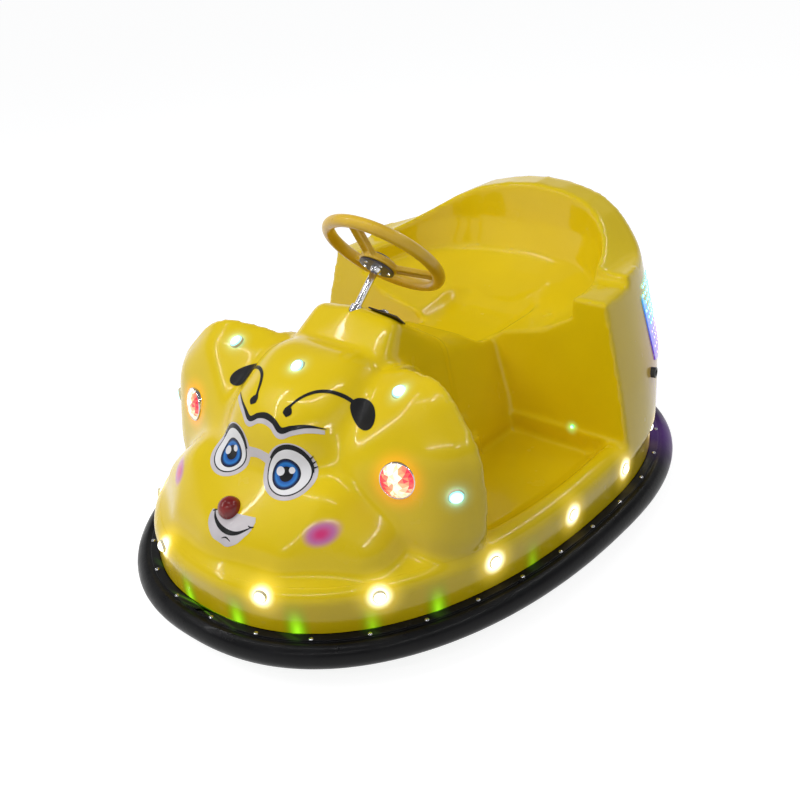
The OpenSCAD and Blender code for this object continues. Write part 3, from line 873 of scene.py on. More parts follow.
# outline of a lit rear panel: rows of [y, z]
REAR_PANEL = [(392, 484), (500, 484), (556, 420), (545, 325), (470, 284), (400, 300)]
PANEL_IN, PANEL_OUT, PANEL_RISE = 375, 600, 2.6


def make_rear_panels():
    """Lit panels that stand a little proud of the sides of the seat."""
    for name, side in SIDES:
        panel = copy_of(body, "rear_light_" + name)
        swell(panel, lambda point: PANEL_RISE)
        low, high = sorted((side * PANEL_IN, side * PANEL_OUT))
        cut(panel, prism(REAR_PANEL, low, high, along="X"), "INTERSECT")
        cut(panel, mesh_of(body))
        dressed(panel, light_blue, "root", "lamp_blue", stands_for=["rear_light_" + name])


make_hood()
make_tub()
make_rear_panels()
bpy.data.objects.remove(body)

# ------------------------------------------------------------------ bumper ring
# section of the ring: rows of [out from the screw line, z]; the round bulge follows
RING_FACE = [(-13, 95.2), (-13, RING_TOP), (4, RING_TOP), (4, 96.2), (9.5, 96.2)]
BULGE_OUT, BULGE_Z, BULGE_R = 10.3, 72.4, 26
SCREW_PITCH = 108.6


def make_ring():
    """Swept rubber ring: a flange that carries the screws, a groove, and the round bulge."""
    arc = [(BULGE_OUT + BULGE_R * math.cos(math.radians(a)), BULGE_Z + BULGE_R * math.sin(math.radians(a)))
           for a in range(84, -85, -8)]
    section = rounded(RING_FACE, 1.2) + arc + [(-10, 46.8), (-10, 95.2)]
    bm = bmesh.new()
    loops = [loop(bm, lambda angle, w=w: ring_dot(angle, w), z, 288) for w, z in section]
    edges = [[e for e in bm.edges if all(v in set_of for v in e.verts)] for set_of in map(set, loops)]
    for one, two in zip(edges, edges[1:] + edges[:1]):
        bmesh.ops.bridge_loops(bm, edges=one + two)
    facing_out(bm)
    ring = piece("bumper_ring", bm, ring_black, "root", "ring_rubber", stands_for=["bumper_ring"])
    light_up(ring)


def dome(radius, height):
    """Profile of a dome."""
    turns = [math.radians(a) for a in range(0, 91, 15)]
    return [(radius * math.sin(a), height * math.cos(a)) for a in turns]


def dome_head(radius, height, at):
    """Domed screw head."""
    return turned(dome(radius, height) + [(radius, -1), (0, -1)], 16, at)


def make_ring_screws():
    """Screw heads along the flange, evenly spaced."""
    heads = []
    dots = [Vector(ring_dot(math.radians(a), 0)) for a in range(181)]
    half = sum((there - here).length for here, there in zip(dots, dots[1:]))
    count = round(half * 2 / SCREW_PITCH)
    for i in range(count):
        run = (i + 0.25) * half * 2 / count
        side = 1 if run < half else -1
        spot, _ = run_along_skirt(run if run < half else 2 * half - run, out=0)
        at = Matrix.Translation(Vector((side * spot.x, spot.y, RING_TOP)) * MM)
        heads.append(dome_head(4.6, 2.4, at))
    piece("ring_screws", joined(heads), bright_steel, "root", "bright_steel")


make_ring()
make_ring_screws()


# ------------------------------------------------------------------ lamps
def lens(radius, rise, at, steps=40, foot=4):
    """Domed lens; its UV map runs from its middle out."""
    bm = turned(dome(radius, rise) + [(radius, -foot), (0, -foot)], steps)
    layer = bm.loops.layers.uv.new("from_middle")
    for face in bm.faces:
        for corner in face.loops:
            corner[layer].uv = (math.hypot(corner.vert.co.x, corner.vert.co.y) / (radius * MM), 0)
    bm.transform(at)
    return bm


def collar(inner, outer, rise, at, steps=40, foot=4):
    """Round bezel of a lamp."""
    crown = ((inner + outer) / 2, rise + 0.6)
    return hollow([(inner, -foot), (inner, rise), crown, (outer, rise * 0.3), (outer, -foot)], 0.7, steps, at)


def skirt_aims():
    """Place of each lamp on the skirt."""
    for side in (1, -1):
        for run, z in SKIRT_LAMPS:
            spot, out = run_along_skirt(run)
            yield aim((side * spot.x, spot.y, z), (side * out.x, out.y, 0))


def sided(row, side):
    """Place on the skin next to a row's place, on one side of the car."""
    x, y, z, a, b, c = row
    spot, *_ = skin.find_nearest(Vector((side * x, y, z)) * MM)
    return aim(spot / MM, (side * a, b, c))


def make_lamps():
    """Lamps of the skirt, the hood and the steps, and the two big ones of cut glass."""
    skirt = list(skirt_aims())
    piece("skirt_lamps", joined([lens(11, 8, at) for at in skirt]), lamp_white, "root", "lamp_warm",
          stands_for=["skirt_lamps"])
    piece("skirt_lamp_bezels", joined([collar(11, 13.2, 1.8, at) for at in skirt]), lamp_rim, "root",
          "lamp_warm")
    hood = [sided(row, 1) for row in HOOD_LAMPS]
    piece("hood_lamps", joined([lens(14, 7, at) for at in hood]), lamp_cyan, "root", "lamp_cool",
          stands_for=["hood_lamps"])
    piece("hood_lamp_bezels", joined([collar(14, 16, 1.6, at) for at in hood]), lamp_rim, "root",
          "lamp_cool")
    step = [sided(STEP_LAMP, side) for side in (1, -1)]
    piece("step_lamps", joined([lens(5, 3, at, 24) for at in step]), lamp_green, "root", "lamp_green",
          stands_for=["step_lamps"])
    for name, side in SIDES:
        at = sided(SIDE_LAMP, side)
        piece("side_lamp_" + name, faceted(33, 11, at), lamp_red, "root", "lamp_red", smooth=False,
              stands_for=["side_lamp_" + name])
        piece("side_lamp_bezel_" + name, collar(33, 36, 2.2, at, 64, 9), bright_steel, "root",
              "bright_steel")


def faceted(radius, rise, at):
    """Cut-glass lens: a dome of flat facets in rings, each ring turned half a facet from the last."""
    bm = bmesh.new()
    rings = [(1.0, 0.10, 20), (0.78, 0.62, 20), (0.50, 0.90, 10), (0.18, 1.0, 10)]
    for i, (share, lift, count) in enumerate(rings):
        made = bmesh.ops.create_circle(bm, segments=count, radius=radius * share * MM)["verts"]
        half_facet = Matrix.Rotation(math.pi / count * i, 3, "Z")
        bmesh.ops.rotate(bm, verts=made, cent=(0, 0, 0), matrix=half_facet)
        bmesh.ops.translate(bm, verts=made, vec=(0, 0, rise * lift * MM))
    made = bmesh.ops.create_circle(bm, segments=20, radius=radius * MM)["verts"]
    bmesh.ops.translate(bm, verts=made, vec=(0, 0, -4 * MM))
    hull(bm)
    layer = bm.loops.layers.uv.new("from_middle")
    for face in bm.faces:
        middle = face.calc_center_median() / MM
        around, spread = math.atan2(middle.y, middle.x), math.hypot(middle.x, middle.y) / radius
        two_lobes = 0.42 * spread * math.cos(2 * around - 0.6)
        glitter = 0.16 * math.sin(17 * around + 9 * spread)
        tone = 0.86 - 0.42 * spread + two_lobes + glitter
        for corner in face.loops:
            corner[layer].uv = (tone, 0)
    bm.transform(at)
    return bm


make_lamps()

# small lit domes on the rear panels: first place, spacing, and the height where their colour changes
DOTS_Y, DOTS_Z, DOT_PITCH, DOT_SHIFT, DOT_SPLIT = 396, 292, 17, 8, 372


def inside_panel(y, z, margin):
    """Whether a place lies so far inside the outline of the rear panel."""
    dots = [Vector(p) for p in REAR_PANEL]
    for a, b in zip(dots, dots[1:] + dots[:1]):
        inward = Vector(((b - a).y, -(b - a).x)).normalized()
        if (Vector((y, z)) - a).dot(inward) < margin:
            return False
    return True


def make_rear_dots():
    """Rows of small lit domes on the rear panels, cyan above and violet below."""
    rows = {"upper": [], "lower": []}
    for side in (1, -1):
        for i in range(12):
            for j in range(12):
                y, z = DOTS_Y + DOT_PITCH * i + DOT_SHIFT * (j % 2), DOTS_Z + DOT_PITCH * j
                if inside_panel(y, z, 8):
                    spot, normal, *_ = skin.ray_cast(Vector((side * 700, y, z)) * MM, Vector((-side, 0, 0)))
                    at = aim((spot + normal * (PANEL_RISE - 0.2) * MM) / MM, normal)
                    rows["upper" if z > DOT_SPLIT else "lower"].append(lens(3.8, 2.2, at, 16, 0.5))
    piece("rear_light_dots_upper", joined(rows["upper"]), dot_cyan, "root", "lamp_blue")
    piece("rear_light_dots_lower", joined(rows["lower"]), dot_violet, "root", "lamp_blue")


make_rear_dots()


def make_nose():
    """Ball nose."""
    bm = bmesh.new()
    bmesh.ops.create_uvsphere(bm, u_segments=64, v_segments=40, radius=NOSE_R * MM,
                              matrix=Matrix.Translation(Vector(NOSE) * MM))
    piece("nose_ball", bm, cherry, "root", "nose_red", stands_for=["nose_ball"])


make_nose()

# ------------------------------------------------------------------ painted face
def sheet_at(spot, u, v, out):
    """Plane that faces out, with its point u, v at a place; all in millimetres."""
    out = Vector(out).normalized()
    across = (Vector((1, 0, 0)) - out * out.x).normalized()
    sheet = Matrix((across, out.cross(across), out)).transposed().to_4x4()
    sheet.translation = Vector(spot) - sheet.to_3x3() @ Vector((u, v, 0))
    return sheet


FACE = sheet_at((0, 0, 0), -7, -3, (0, -0.72, 0.69))
EYE_U, EYE_V = 79, -57


def skin_under(u, v, sheet):
    """Place and normal of the skin under a point of a sheet."""
    way = sheet.to_3x3() @ Vector((0, 0, 1))
    spot, normal, *_ = skin.ray_cast(sheet @ Vector((u, v, FAR)) * MM, -way)
    return spot, normal


def on_face(u, v, lift, sheet=FACE):
    """A point of the face drawing, laid on the skin: u across and v up the face, in millimetres."""
    spot, normal = skin_under(u, v, sheet)
    return spot + normal * lift * MM


def eye_sheet(side):
    """Sheet of one eye: it faces the way the skin does there on average, so that the eye stays round."""
    spot, _ = skin_under(side * EYE_U, EYE_V, FACE)
    ways = [skin_under(side * EYE_U + a, EYE_V + b, FACE)[1] for a in (-40, 0, 40) for b in (-38, 0, 38)]
    return sheet_at(spot / MM, side * EYE_U, EYE_V, sum(ways, Vector()))


EYES = {side: eye_sheet(side) for side in (1, -1)}


def curve_at(points, t):
    """Smooth run through a list of values, t from 0 to 1."""
    place = t * (len(points) - 1)
    i = min(int(place), len(points) - 2)
    f = place - i
    a, b, c, d = (Vector(points[max(0, min(len(points) - 1, k))]) for k in range(i - 1, i + 3))
    return b + 0.5 * f * (c - a + f * (2 * a - 5 * b + 4 * c - d + f * (3 * (b - c) + d - a)))


def stroke(points, lift, along=48, across_count=8, sheet=FACE):
    """Painted stroke through [u, v, half width]."""
    bm = bmesh.new()
    bmesh.ops.create_grid(bm, x_segments=along, y_segments=across_count, size=1)
    for vert in bm.verts:
        t = (vert.co.x + 1) / 2
        u, v, half = curve_at(points, t)
        ahead = curve_at(points, min(1, t + 0.01)) - curve_at(points, max(0, t - 0.01))
        way = Vector((ahead.x, ahead.y)).normalized()
        side = vert.co.y * max(0.15, half)
        vert.co = on_face(u - way.y * side, v + way.x * side, lift, sheet)
    return skin_of_paint(bm)


def disc(u, v, half_wide, half_high, lift, tilt=0, count=28, sheet=FACE):
    """Painted disc; its UV map runs from its middle out."""
    bm = bmesh.new()
    bmesh.ops.create_grid(bm, x_segments=count, y_segments=count, size=1)
    layer = bm.loops.layers.uv.new("from_middle")
    c, s = math.cos(math.radians(tilt)), math.sin(math.radians(tilt))
    for face in bm.faces:
        for corner in face.loops:
            x, y, _ = corner.vert.co
            corner[layer].uv = (math.hypot(x * math.sqrt(1 - y * y / 2), y * math.sqrt(1 - x * x / 2)), 0)
    for vert in bm.verts:
        x, y, _ = vert.co
        a = x * math.sqrt(1 - y * y / 2) * half_wide
        b = y * math.sqrt(1 - x * x / 2) * half_high
        vert.co = on_face(u + a * c - b * s, v + a * s + b * c, lift, sheet)
    return skin_of_paint(bm)


def skin_of_paint(bm):
    """Turns a sheet outwards and gives it the thickness of a film."""
    bm.normal_update()
    if sum((f.normal for f in bm.faces), Vector()).dot(FACE.to_3x3() @ Vector((0, 0, 1))) < 0:
        bmesh.ops.reverse_faces(bm, faces=bm.faces[:])
    bmesh.ops.solidify(bm, geom=bm.faces[:], thickness=0.35 * MM)
    return bm


def both(make):
    """The same drawing on each side of the face; side is 1 or -1."""
    return [make(1), make(-1)]


def paint(name, parts, finish):
    """A painted piece of the face, of one colour."""
    piece(name, joined(parts), finish, "root", None)


# strokes: rows of [u, v, half width]
BROW = [(-106, 56, 0.6), (-62, 28, 3.0), (-38, 12, 5.2), (-17, 23, 5.6), (3, 27, 6.2), (25, 22, 5.6),
        (46, 11, 6.0), (66, 22, 4.6), (92, 36, 3.0), (120, 45, 0.5)]
BRIDGE = [(-34, -49, 10), (0, -44, 8), (34, -49, 10)]
CHIN = [(8, -166, 54), (10, -178, 57), (14, -192, 53), (18, -206, 44), (22, -219, 28), (24, -229, 4)]
FEELER = [(48, 38, 1), (47, 45, 9), (45, 54, 7.5), (46, 62, 2.8), (56, 84, 3.0), (72, 103, 3.4),
          (94, 114, 3.6), (118, 116, 4.0), (136, 112, 3.4)]
SMILE = [(-38, -176, 1), (-28, -188, 2.6), (-8, -199, 4.4), (16, -203, 5), (38, -198, 3.4), (60, -180, 1)]
DIMPLES = [[(-43, -178, 0.8), (-38, -175, 1.8), (-33, -172, 0.8)],
           [(54, -177, 0.8), (61, -178, 1.8), (67, -175, 0.8)]]
LOWER_LIP = [(8, -218, 0.6), (18, -213.5, 1.6), (30, -217, 0.6)]
# painted discs of an eye: name, finish, in from its middle, up, half width, half height, lift, tilt
EYE_DISCS = [("face_eye_rings", paint_black, 0, 0, 48.5, 46, 0.75, 8),
             ("face_eye_whites", paint_white, 0, -0.5, 45.5, 43, 1.0, 8),
             ("face_iris_rings", paint_black, 4, -5, 31, 30, 1.2, 0),
             ("face_irises", iris_blue, 4, -5, 29, 28, 1.4, 0),
             ("face_pupils", paint_black, 4, -4, 15, 15, 1.6, 0)]


def eye(side, in_by, up_by, half_wide, half_high, lift, tilt=0):
    """Disc of an eye, by its place from the eye's middle."""
    return disc(side * (EYE_U - in_by), EYE_V + up_by, half_wide, half_high, lift, side * tilt,
                sheet=EYES[side])


def round_eye(side, angle, across, high):
    """A point on an oval round the eye's middle, at an angle up from its outer corner."""
    a = math.radians(angle)
    return side * (EYE_U + across * math.cos(a)), EYE_V + high * math.sin(a)


def eyelid(side):
    """Upper lid line and three lashes."""
    lid = []
    for angle in range(20, 166, 18):
        u, v = round_eye(side, angle, 49, 47)
        lid.append((u, v + 1, 0.8 + 3.2 * math.sin(math.radians(angle - 10))))
    lashes = [[(*round_eye(side, angle, 47, 45), 2.0), (*round_eye(side, angle, 54, 53), 1.3),
               (*round_eye(side, angle, 58, 60), 0.3)] for angle in (32, 42, 52)]
    return ([stroke(lid, 1.2, sheet=EYES[side])]
            + [stroke(lash, 1.2, 16, 4, EYES[side]) for lash in lashes])


def feeler(side):
    """Curved feeler over an eye, with its dark end."""
    return [stroke([(side * u, v, half) for u, v, half in FEELER], 0.8, 72),
            disc(side * 165, 98, 39, 23, 0.9, side * -36)]


def make_face():
    """Plain animal face, painted in layers from the palest areas up to the lines."""
    surround = both(lambda side: eye(side, 0, 0, 58, 54, 0.5, 8))
    under_brow = stroke([(u, v - 7, half + 3) for u, v, half in BROW], 0.45, 96)
    paint("face_pale_areas", surround + [under_brow, stroke(BRIDGE, 0.4), stroke(CHIN, 0.5, 40, 24)],
          paint_grey)
    for name, finish, *place in EYE_DISCS:
        paint(name, both(lambda side: eye(side, *place)), finish)
    paint("face_eye_lights", both(lambda side: eye(side, 4 + side * 14, -2, 9, 9, 1.8))
          + both(lambda side: eye(side, 4 - side * 9, 7, 6.5, 6.5, 1.8)), paint_white)
    lines = [stroke(BROW, 0.8, 96)]
    for side in (1, -1):
        lines += eyelid(side) + feeler(side)
    lines.append(stroke(SMILE, 0.9))
    lines += [stroke(dimple, 0.9, 12, 4) for dimple in DIMPLES]
    lines.append(stroke(LOWER_LIP, 0.9, 16, 4))
    paint("face_lines", lines, paint_black)


make_face()

# ------------------------------------------------------------------ steering
RIM_R, TUBE_R = 126.5, 13.5
PLATE_SCREWS, PLATE_SCREW_R, PLATE_FACE = 5, 29, -35


def bar_between(start, end, wide, deep, at):
    """Rounded bar between two places, wide across them."""
    start, end = Vector(start), Vector(end)
    way = (end - start).normalized()
    side = Vector((0, 0, 1)).cross(way).normalized()
    middle = Matrix((side, way, side.cross(way))).transposed().to_4x4()
    middle.translation = (start + end) / 2 * MM
    corner = Vector((wide, (end - start).length, deep)) / 2
    return block(-corner, corner, 2.5, 3, at @ middle)


def wheel_form():
    """Rim, boss and three spokes with two ribs under each, about local z."""
    rim = bmesh.new()
    upright = Matrix.Translation((RIM_R * MM, 0, 0)) @ Matrix.Rotation(math.pi / 2, 4, "X")
    made = bmesh.ops.create_circle(rim, segments=28, radius=TUBE_R * MM, matrix=upright)["verts"]
    bmesh.ops.spin(rim, geom=made + rim.edges[:], cent=(0, 0, 0), axis=(0, 0, 1), angle=math.tau, steps=96,
                   use_merge=True)
    parts = [facing_out(rim), solid([(0, -30), (42, -30), (42, -15), (0, -15)], 3)]
    for angle in (30, 150, 270):
        way = Matrix.Rotation(math.radians(angle), 4, "Z")
        parts.append(bar_between((30, 0, -20), (125, 0, 3), 30, 5.5, way))
        parts += [bar_between((30, side, -24), (123, side, -0.5), 7, 10, way) for side in (-11, 11)]
    return joined(parts)


def make_wheel():
    """Steering wheel in one skin, with its plate, plate screws, shaft and shaft socket."""
    wheel = loose("steering_wheel", wheel_form())
    remesh(wheel, 2.2)
    soften(wheel, 4)
    wheel.data.transform(AT_WHEEL)
    dressed(wheel, wheel_yellow, "steering", "wheel_yellow", stands_for=["steering_wheel"])
    plate = hollow([(9, PLATE_FACE), (39, PLATE_FACE), (39, -30.3), (9, -30.3)], 1, 64, AT_WHEEL)
    piece("hub_plate", plate, plate_grey, "steering", "plate_grey", stands_for=["hub_plate"])
    heads = []
    for i in range(PLATE_SCREWS):
        spot = (Matrix.Rotation(math.tau * (i + 0.5) / PLATE_SCREWS, 4, "Z")
                @ Matrix.Translation((PLATE_SCREW_R * MM, 0, PLATE_FACE * MM)))
        heads.append(solid([(0, -3), (3.6, -3), (4.2, 0), (0, 0)], 0.4, 6, AT_WHEEL @ spot))
    piece("hub_plate_screws", joined(heads), bright_steel, "steering", "bright_steel", smooth=False)
    shaft = solid([(0, -419.3), (8, -419.3), (8, -16), (0, -16)], 1, 48, AT_WHEEL)
    piece("steering_shaft", shaft, bright_steel, "steering", "bright_steel", stands_for=["steering_shaft"])
    socket = hollow([(8.1, -44), (10.2, -44), (10.8, -40), (12.4, -35.2), (8.1, -35.2)], 0.8, 40, AT_WHEEL)
    piece("shaft_socket", socket, bright_steel, "steering", "bright_steel")


def make_cap():
    """Round cap over the middle of the wheel, dished a little."""
    cap = solid([(0, -8), (12, -8), (16, -6), (21, -7.2), (24, -11), (24, -14.7), (0, -14.7)], 1.2, 64,
                AT_WHEEL)
    piece("wheel_cap", cap, soft_black, "steering", "black_plastic", stands_for=["wheel_cap"])


def make_bush():
    """Plain sleeve the shaft turns in; it ends just above the cowl."""
    start = -60
    *_, depth = skin.ray_cast(AT_WHEEL @ Vector((0, 0, start * MM)), AT_WHEEL.to_3x3() @ Vector((0, 0, -1)))
    top = start - depth / MM
    sleeve = hollow([(8.4, -172), (12.9, -172), (12.9, top), (11.5, top + 1.5), (8.4, top + 1.5)], 0.8, 48,
                    AT_WHEEL)
    piece("shaft_bush", sleeve, bright_steel, "root", "bright_steel", stands_for=["shaft_bush"])


make_wheel()
make_cap()
make_bush()

# ------------------------------------------------------------------ dash, socket, pedal
DASH = Vector((62, -92, 524))
AT_DASH = aim(skin.find_nearest(DASH * MM)[0] / MM, (0.08, 0.75, 0.66))
BUTTON_UP = 8
PEDAL_Y, PEDAL_X, PEDAL_LEAN, RIBS = -92, (-260, -200), -12.8, 7


def recessed(bm, rim, depth):
    """Sinks the upward face of a plate inside a rim."""
    top = max(bm.faces, key=lambda f: (round(f.normal.z, 2), f.calc_area()))
    bmesh.ops.inset_region(bm, faces=[top], thickness=rim * MM, depth=0)
    bmesh.ops.inset_region(bm, faces=[top], thickness=0.4 * MM, depth=-depth * MM)
    return bm


def make_dash():
    """Dark brown plate on the cowl, painted shade that stands for a slot opening, with the start button and a
    ring round it.
    """
    # the dark plate is painted shade in place of a slot opening
    plate = recessed(block((-17, -42, 0.3), (17, 42, 3.3), 1.2, 3), 2.5, 0.8)
    plate.transform(AT_DASH)
    piece("dash_panel", plate, slot_shade_brown, "root", "dash_dark", stands_for=["dash_panel"])
    at = AT_DASH @ Matrix.Translation((0, BUTTON_UP * MM, 0))
    cap = solid([(0, 11.4), (6.4, 11.0), (8.2, 9.2), (8.2, 4.2), (0, 4.2)], 1.2, 48, at)
    piece("start_button", cap, button_steel, "root", "bright_steel", stands_for=["start_button"])
    ring = hollow([(8.5, 3.6), (8.5, 6.4), (10.5, 7.0), (12.5, 5.6), (13, 3.6)], 0.8, 48, at)
    piece("start_button_ring", ring, soft_black, "root", "black_plastic")


def make_socket():
    """Charging socket, open outwards, with a pin in its middle."""
    at = aim(SOCKET[:3], SOCKET[3:])
    wall = rounded([(7.05, -7), (7.05, 6), (12, 6), (12, -13)], 0.9)
    case = turned([(0, -8), (7.05, -8)] + wall + [(12, -14), (0, -14)], 48, at)
    piece("charge_socket", case, soft_black, "root", "black_plastic", stands_for=["charge_socket"])
    pin = solid([(0, 2), (1.5, 2), (1.5, -8), (0, -8)], 0.6, 16, at)
    piece("charge_socket_pin", pin, bright_steel, "root", "bright_steel")


def make_pedal():
    """Foot pedal, with ribs across it."""
    y, z = PEDAL_Y, FLOOR_Z + 0.3
    outline = [(y, z), (y, z + 5), (y - 84, z + 24), (y - 90, z + 22), (y - 90, z)]
    parts = [bevelled(prism(outline, *PEDAL_X, along="X"), 1.2)]
    for i in range(RIBS):
        at = (Matrix.Translation(Vector((0, y - 8 - 11.4 * i, z + 6.5 + 2.6 * i)) * MM)
              @ Matrix.Rotation(math.radians(PEDAL_LEAN), 4, "X"))
        parts.append(block((PEDAL_X[0] + 3, -3, -1), (PEDAL_X[1] - 3, 3, 1.6), 0.9, 2, at))
    piece("foot_pedal", joined(parts), tyre_black, "root", "black_rubber", stands_for=["foot_pedal"])


make_dash()
make_socket()
make_pedal()

# ------------------------------------------------------------------ running gear
DRIVE_Y, DRIVE_R, MOTOR_X = -330, 75, 38.3
REAR_X, REAR_Y, REAR_R = 250, 400, 50


def axle_way(x, y, z):
    """Puts local z along the axle of a wheel."""
    return Matrix.Translation(Vector((x, y, z)) * MM) @ Matrix.Rotation(math.pi / 2, 4, "Y")


def tyre(at, radius, wide, inner, steps):
    """Solid tyre with two grooves round it and blocks cut across the tread."""
    half = wide / 2
    groove = -half * 0.36
    left = [(inner, -half), (inner + 4, -half), (inner + 6, -half + 1.2), (radius - 7, -half + 1.2),
            (radius - 5, -half), (radius - 1.2, -half + 4), (radius, -half + 6), (radius, groove - 1.6),
            (radius - 2.4, groove - 1), (radius - 2.4, groove + 1), (radius, groove + 1.6)]
    bm = turned(left + [(r, -z) for r, z in reversed(left)] + [left[0]], steps)
    tread = [f for f in bm.faces if min(math.hypot(v.co.x, v.co.y) for v in f.verts) > (radius - 0.1) * MM]
    turns = [math.atan2(*f.calc_center_median().yx) / math.tau for f in tread]
    every_other = [f for f, turn in zip(tread, turns) if int(turn * steps + steps) % 2]
    bmesh.ops.inset_individual(bm, faces=every_other, thickness=0.7 * MM, depth=-1.6 * MM,
                               use_even_offset=True)
    bm.transform(at)
    return bm


def hub(at, wide, outer, spokes):
    """Moulded hub: a dished web with ribs, round the axle boss."""
    half = wide / 2
    side = [(6.1, half + 1), (13, half + 1), (14, half), (14, half - 7), (outer - 7, half - 9),
            (outer - 4, half - 4), (outer, half - 4)]
    web = turned(side + [(r, -z) for r, z in reversed(side)] + [side[0]], 64)
    ribs = [block((12, -2, -half + 5), (outer - 5, 2, half - 5), 0.8, 2,
                  Matrix.Rotation(math.tau * i / spokes, 4, "Z")) for i in range(spokes)]
    bm = joined([web] + ribs)
    bm.transform(at)
    return bm


def make_tyre_and_hub(name, body, at, radius, wide, inner, blocks, spokes):
    """Both pieces of one wheel; the name has a gap for which of them it is."""
    for kind, bm, finish, slot in (
            ("tyre", tyre(at, radius, wide, inner, blocks), tyre_black, "tyre_rubber"),
            ("hub", hub(at, wide, inner - 0.3, spokes), hub_white, "hub_plastic")):
        piece(name % kind, bm, finish, body, slot, stands_for=[name % kind])


def make_motor():
    """Drive motor with cooling grooves, on the end of the drive axle."""
    shell = [(0, 0), (28, 0), (28, 8)]
    for i in range(7):
        z = 10 + 6.4 * i
        shell += [(25.6, z), (25.6, z + 2.6), (28, z + 3.2), (28, z + 5.8)]
    shell += [(27, 58), (24, 62), (12, 62), (11, 66), (0, 66)]
    piece("drive_motor", turned(shell, 56, axle_way(MOTOR_X, DRIVE_Y, DRIVE_R)), motor_grey, "fork",
          "motor_paint", stands_for=["drive_motor"])


def make_battery():
    """Battery case with a stepped lid and ribs, and its two posts, in the box of its CAD part."""
    low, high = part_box("battery")
    x, y, z = low / MM
    wide, deep, tall = (high - low) / MM
    case = [block((x, y, z), (x + wide, y + deep, z + tall - 26), 4, 3),
            block((x + 1.5, y + 1.5, z + tall - 27), (x + wide - 1.5, y + deep - 1.5, z + tall - 7), 3, 3)]
    for i in range(5):
        rib = x + wide * (i + 0.5) / 5
        case.append(block((rib - 6, y - 0.01, z + 20), (rib + 6, y + 1, z + tall - 40), 0.4, 1))
    piece("battery", joined(case), case_black, "root", "battery_case", stands_for=["battery"])
    posts = [solid([(0, tall - 7.4), (9, tall - 7.4), (8, tall), (0, tall)], 0.8, 32,
                   Matrix.Translation(Vector((x + wide * share, y + 26, z)) * MM)) for share in (0.2, 0.8)]
    piece("battery_posts", joined(posts), lead_grey, "root", "battery_case")


make_tyre_and_hub("drive_%s", "drive_wheel", axle_way(0, DRIVE_Y, DRIVE_R), DRIVE_R, 45, 50, 72, 6)
for name, side in SIDES:
    make_tyre_and_hub("rear_%s_" + name, "rear_wheel_" + name, axle_way(side * REAR_X, REAR_Y, REAR_R),
                      REAR_R, 32, 30, 56, 5)
make_motor()
make_battery()

# ------------------------------------------------------------------ carried-over pieces
FINISH_OF_SLOT = {
    "shell_yellow": shell_yellow, "ring_rubber": ring_black, "lamp_cool": lamp_cyan, "lamp_red": lamp_red,
    "lamp_warm": lamp_white, "lamp_green": lamp_green, "lamp_blue": light_blue, "nose_red": cherry,
    "black_plastic": soft_black, "black_rubber": tyre_black, "dash_dark": slot_shade_brown,
    "wheel_yellow": wheel_yellow, "plate_grey": plate_grey, "bright_steel": bright_steel,
    "frame_paint": frame_black, "motor_paint": motor_grey, "tyre_rubber": tyre_black,
    "hub_plastic": hub_white, "tray_steel": zinc, "battery_case": case_black}


def dress_nodes():
    """Finishes for the CAD pieces that are shown as they are."""
    slots = {part["node"]: part["material_slot"] for part in frame["record"]["subparts"]}
    for name, obj in nodes.items():
        if not obj.hide_render:
            obj.data.materials.clear()
            obj.data.materials.append(FINISH_OF_SLOT[slots[name]])


dress_nodes()

# ------------------------------------------------------------------ floor, light
FLOOR_WHITE, ROOM_LIGHT = 0.88, 0.27
# thin bright tubes: name, place, target, length and roll in degrees
TUBES = [("tube_front", (0.9, -2.7, 2.5), (0, -0.3, 0.3), 2.6, 20),
         ("tube_left", (-1.9, -1.4, 2.4), (0, -0.2, 0.4), 2.6, -35),
         ("tube_middle", (-0.3, -0.9, 3.1), (0, -0.2, 0.4), 2.8, 35),
         ("tube_side", (2.3, -0.5, 2.6), (0, 0.1, 0.4), 2.6, 15),
         ("tube_back", (0.9, 1.9, 2.8), (0, 0.2, 0.5), 2.6, -20)]
TUBE_WIDE, TUBE_POWER = 0.03, 11


def worked_out(tree, how, a, b):
    """One number from two, such as their product."""
    return add_node(tree, "ShaderNodeMath", {0: a, 1: b}, operation=how).outputs["Value"]


def seen_directly(tree):
    """1 for what the camera, a reflection or a clear piece shows of the background."""
    seen = add_node(tree, "ShaderNodeLightPath").outputs
    first = worked_out(tree, "MAXIMUM", seen["Is Camera Ray"], seen["Is Glossy Ray"])
    return worked_out(tree, "MAXIMUM", first, seen["Is Transmission Ray"])


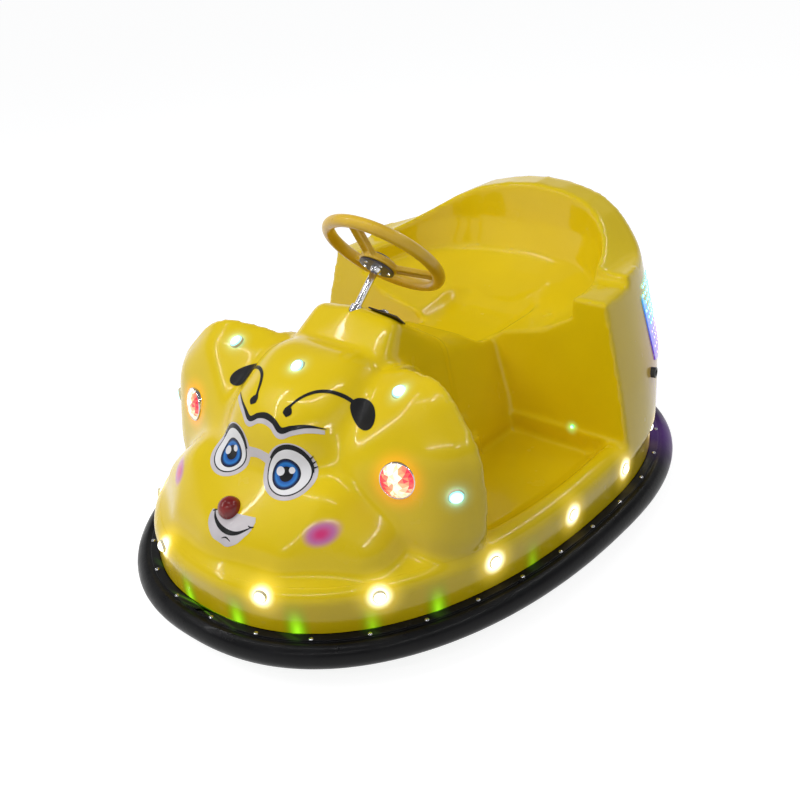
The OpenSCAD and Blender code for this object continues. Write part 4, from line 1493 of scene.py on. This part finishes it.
def make_stage():
    """Wide floor that looks near white and throws back little light."""
    material, tree, shader = new_finish("pale_floor", Base_Color=(0.36, 0.36, 0.36, 1), Roughness=0.9,
                                        Specular_IOR_Level=0.0, Emission_Color=(1, 1, 1, 1))
    shown = worked_out(tree, "MULTIPLY", seen_directly(tree), FLOOR_WHITE)
    tree.links.new(shown, shader.inputs["Emission Strength"])
    bm = bmesh.new()
    bmesh.ops.create_circle(bm, cap_ends=True, segments=96, radius=40)
    floor = loose("floor", bm)
    floor.data.materials.append(material)


def area_light(name, place, target, long, short, power, roll=0):
    """Rectangular light that looks at a target."""
    data = bpy.data.lights.new(name, "AREA")
    data.shape = "RECTANGLE"
    data.size, data.size_y, data.energy = long, short, power
    lamp = bpy.data.objects.new(name, data)
    lamp.rotation_euler = ((Vector(target) - Vector(place)).to_track_quat("-Z", "Y")
                           @ Matrix.Rotation(math.radians(roll), 3, "Z").to_quaternion()).to_euler()
    lamp.location = place
    bpy.context.scene.collection.objects.link(lamp)
    return lamp


def make_world():
    """Dim soft room light, with a white surround near the horizon where the background shows."""
    world = bpy.data.worlds.new("studio")
    bpy.context.scene.world = world
    world.use_nodes = True
    tree = world.node_tree
    ground = tree.nodes["Background"]
    ground.inputs["Color"].default_value = (0.95, 0.97, 1, 1)
    ground.inputs["Strength"].default_value = ROOM_LIGHT
    white = add_node(tree, "ShaderNodeBackground", {"Color": (1, 1, 1, 1), "Strength": 1.0})
    rise = part_of(tree, add_node(tree, "ShaderNodeTexCoord").outputs["Generated"], "Z")
    share = worked_out(tree, "MULTIPLY", stretch(tree, rise, 1, 0, 0.30, 0.42), seen_directly(tree))
    mixed = add_node(tree, "ShaderNodeMixShader",
                     {"Fac": share, 1: ground.outputs["Background"], 2: white.outputs["Background"]})
    tree.links.new(mixed.outputs["Shader"], tree.nodes["World Output"].inputs["Surface"])


def make_lights():
    """One broad soft light, kept out of reflections, and the tubes that show in the gloss."""
    soft = area_light("soft_key", (-1.3, -2.1, 3.1), (0, -0.1, 0.3), 2.4, 2.0, 52)
    soft.visible_glossy = False
    for name, place, target, long, roll in TUBES:
        area_light(name, place, target, long, TUBE_WIDE, TUBE_POWER, roll)


make_world()
make_stage()
make_lights()
bpy.context.scene.view_settings.view_transform = "Standard"
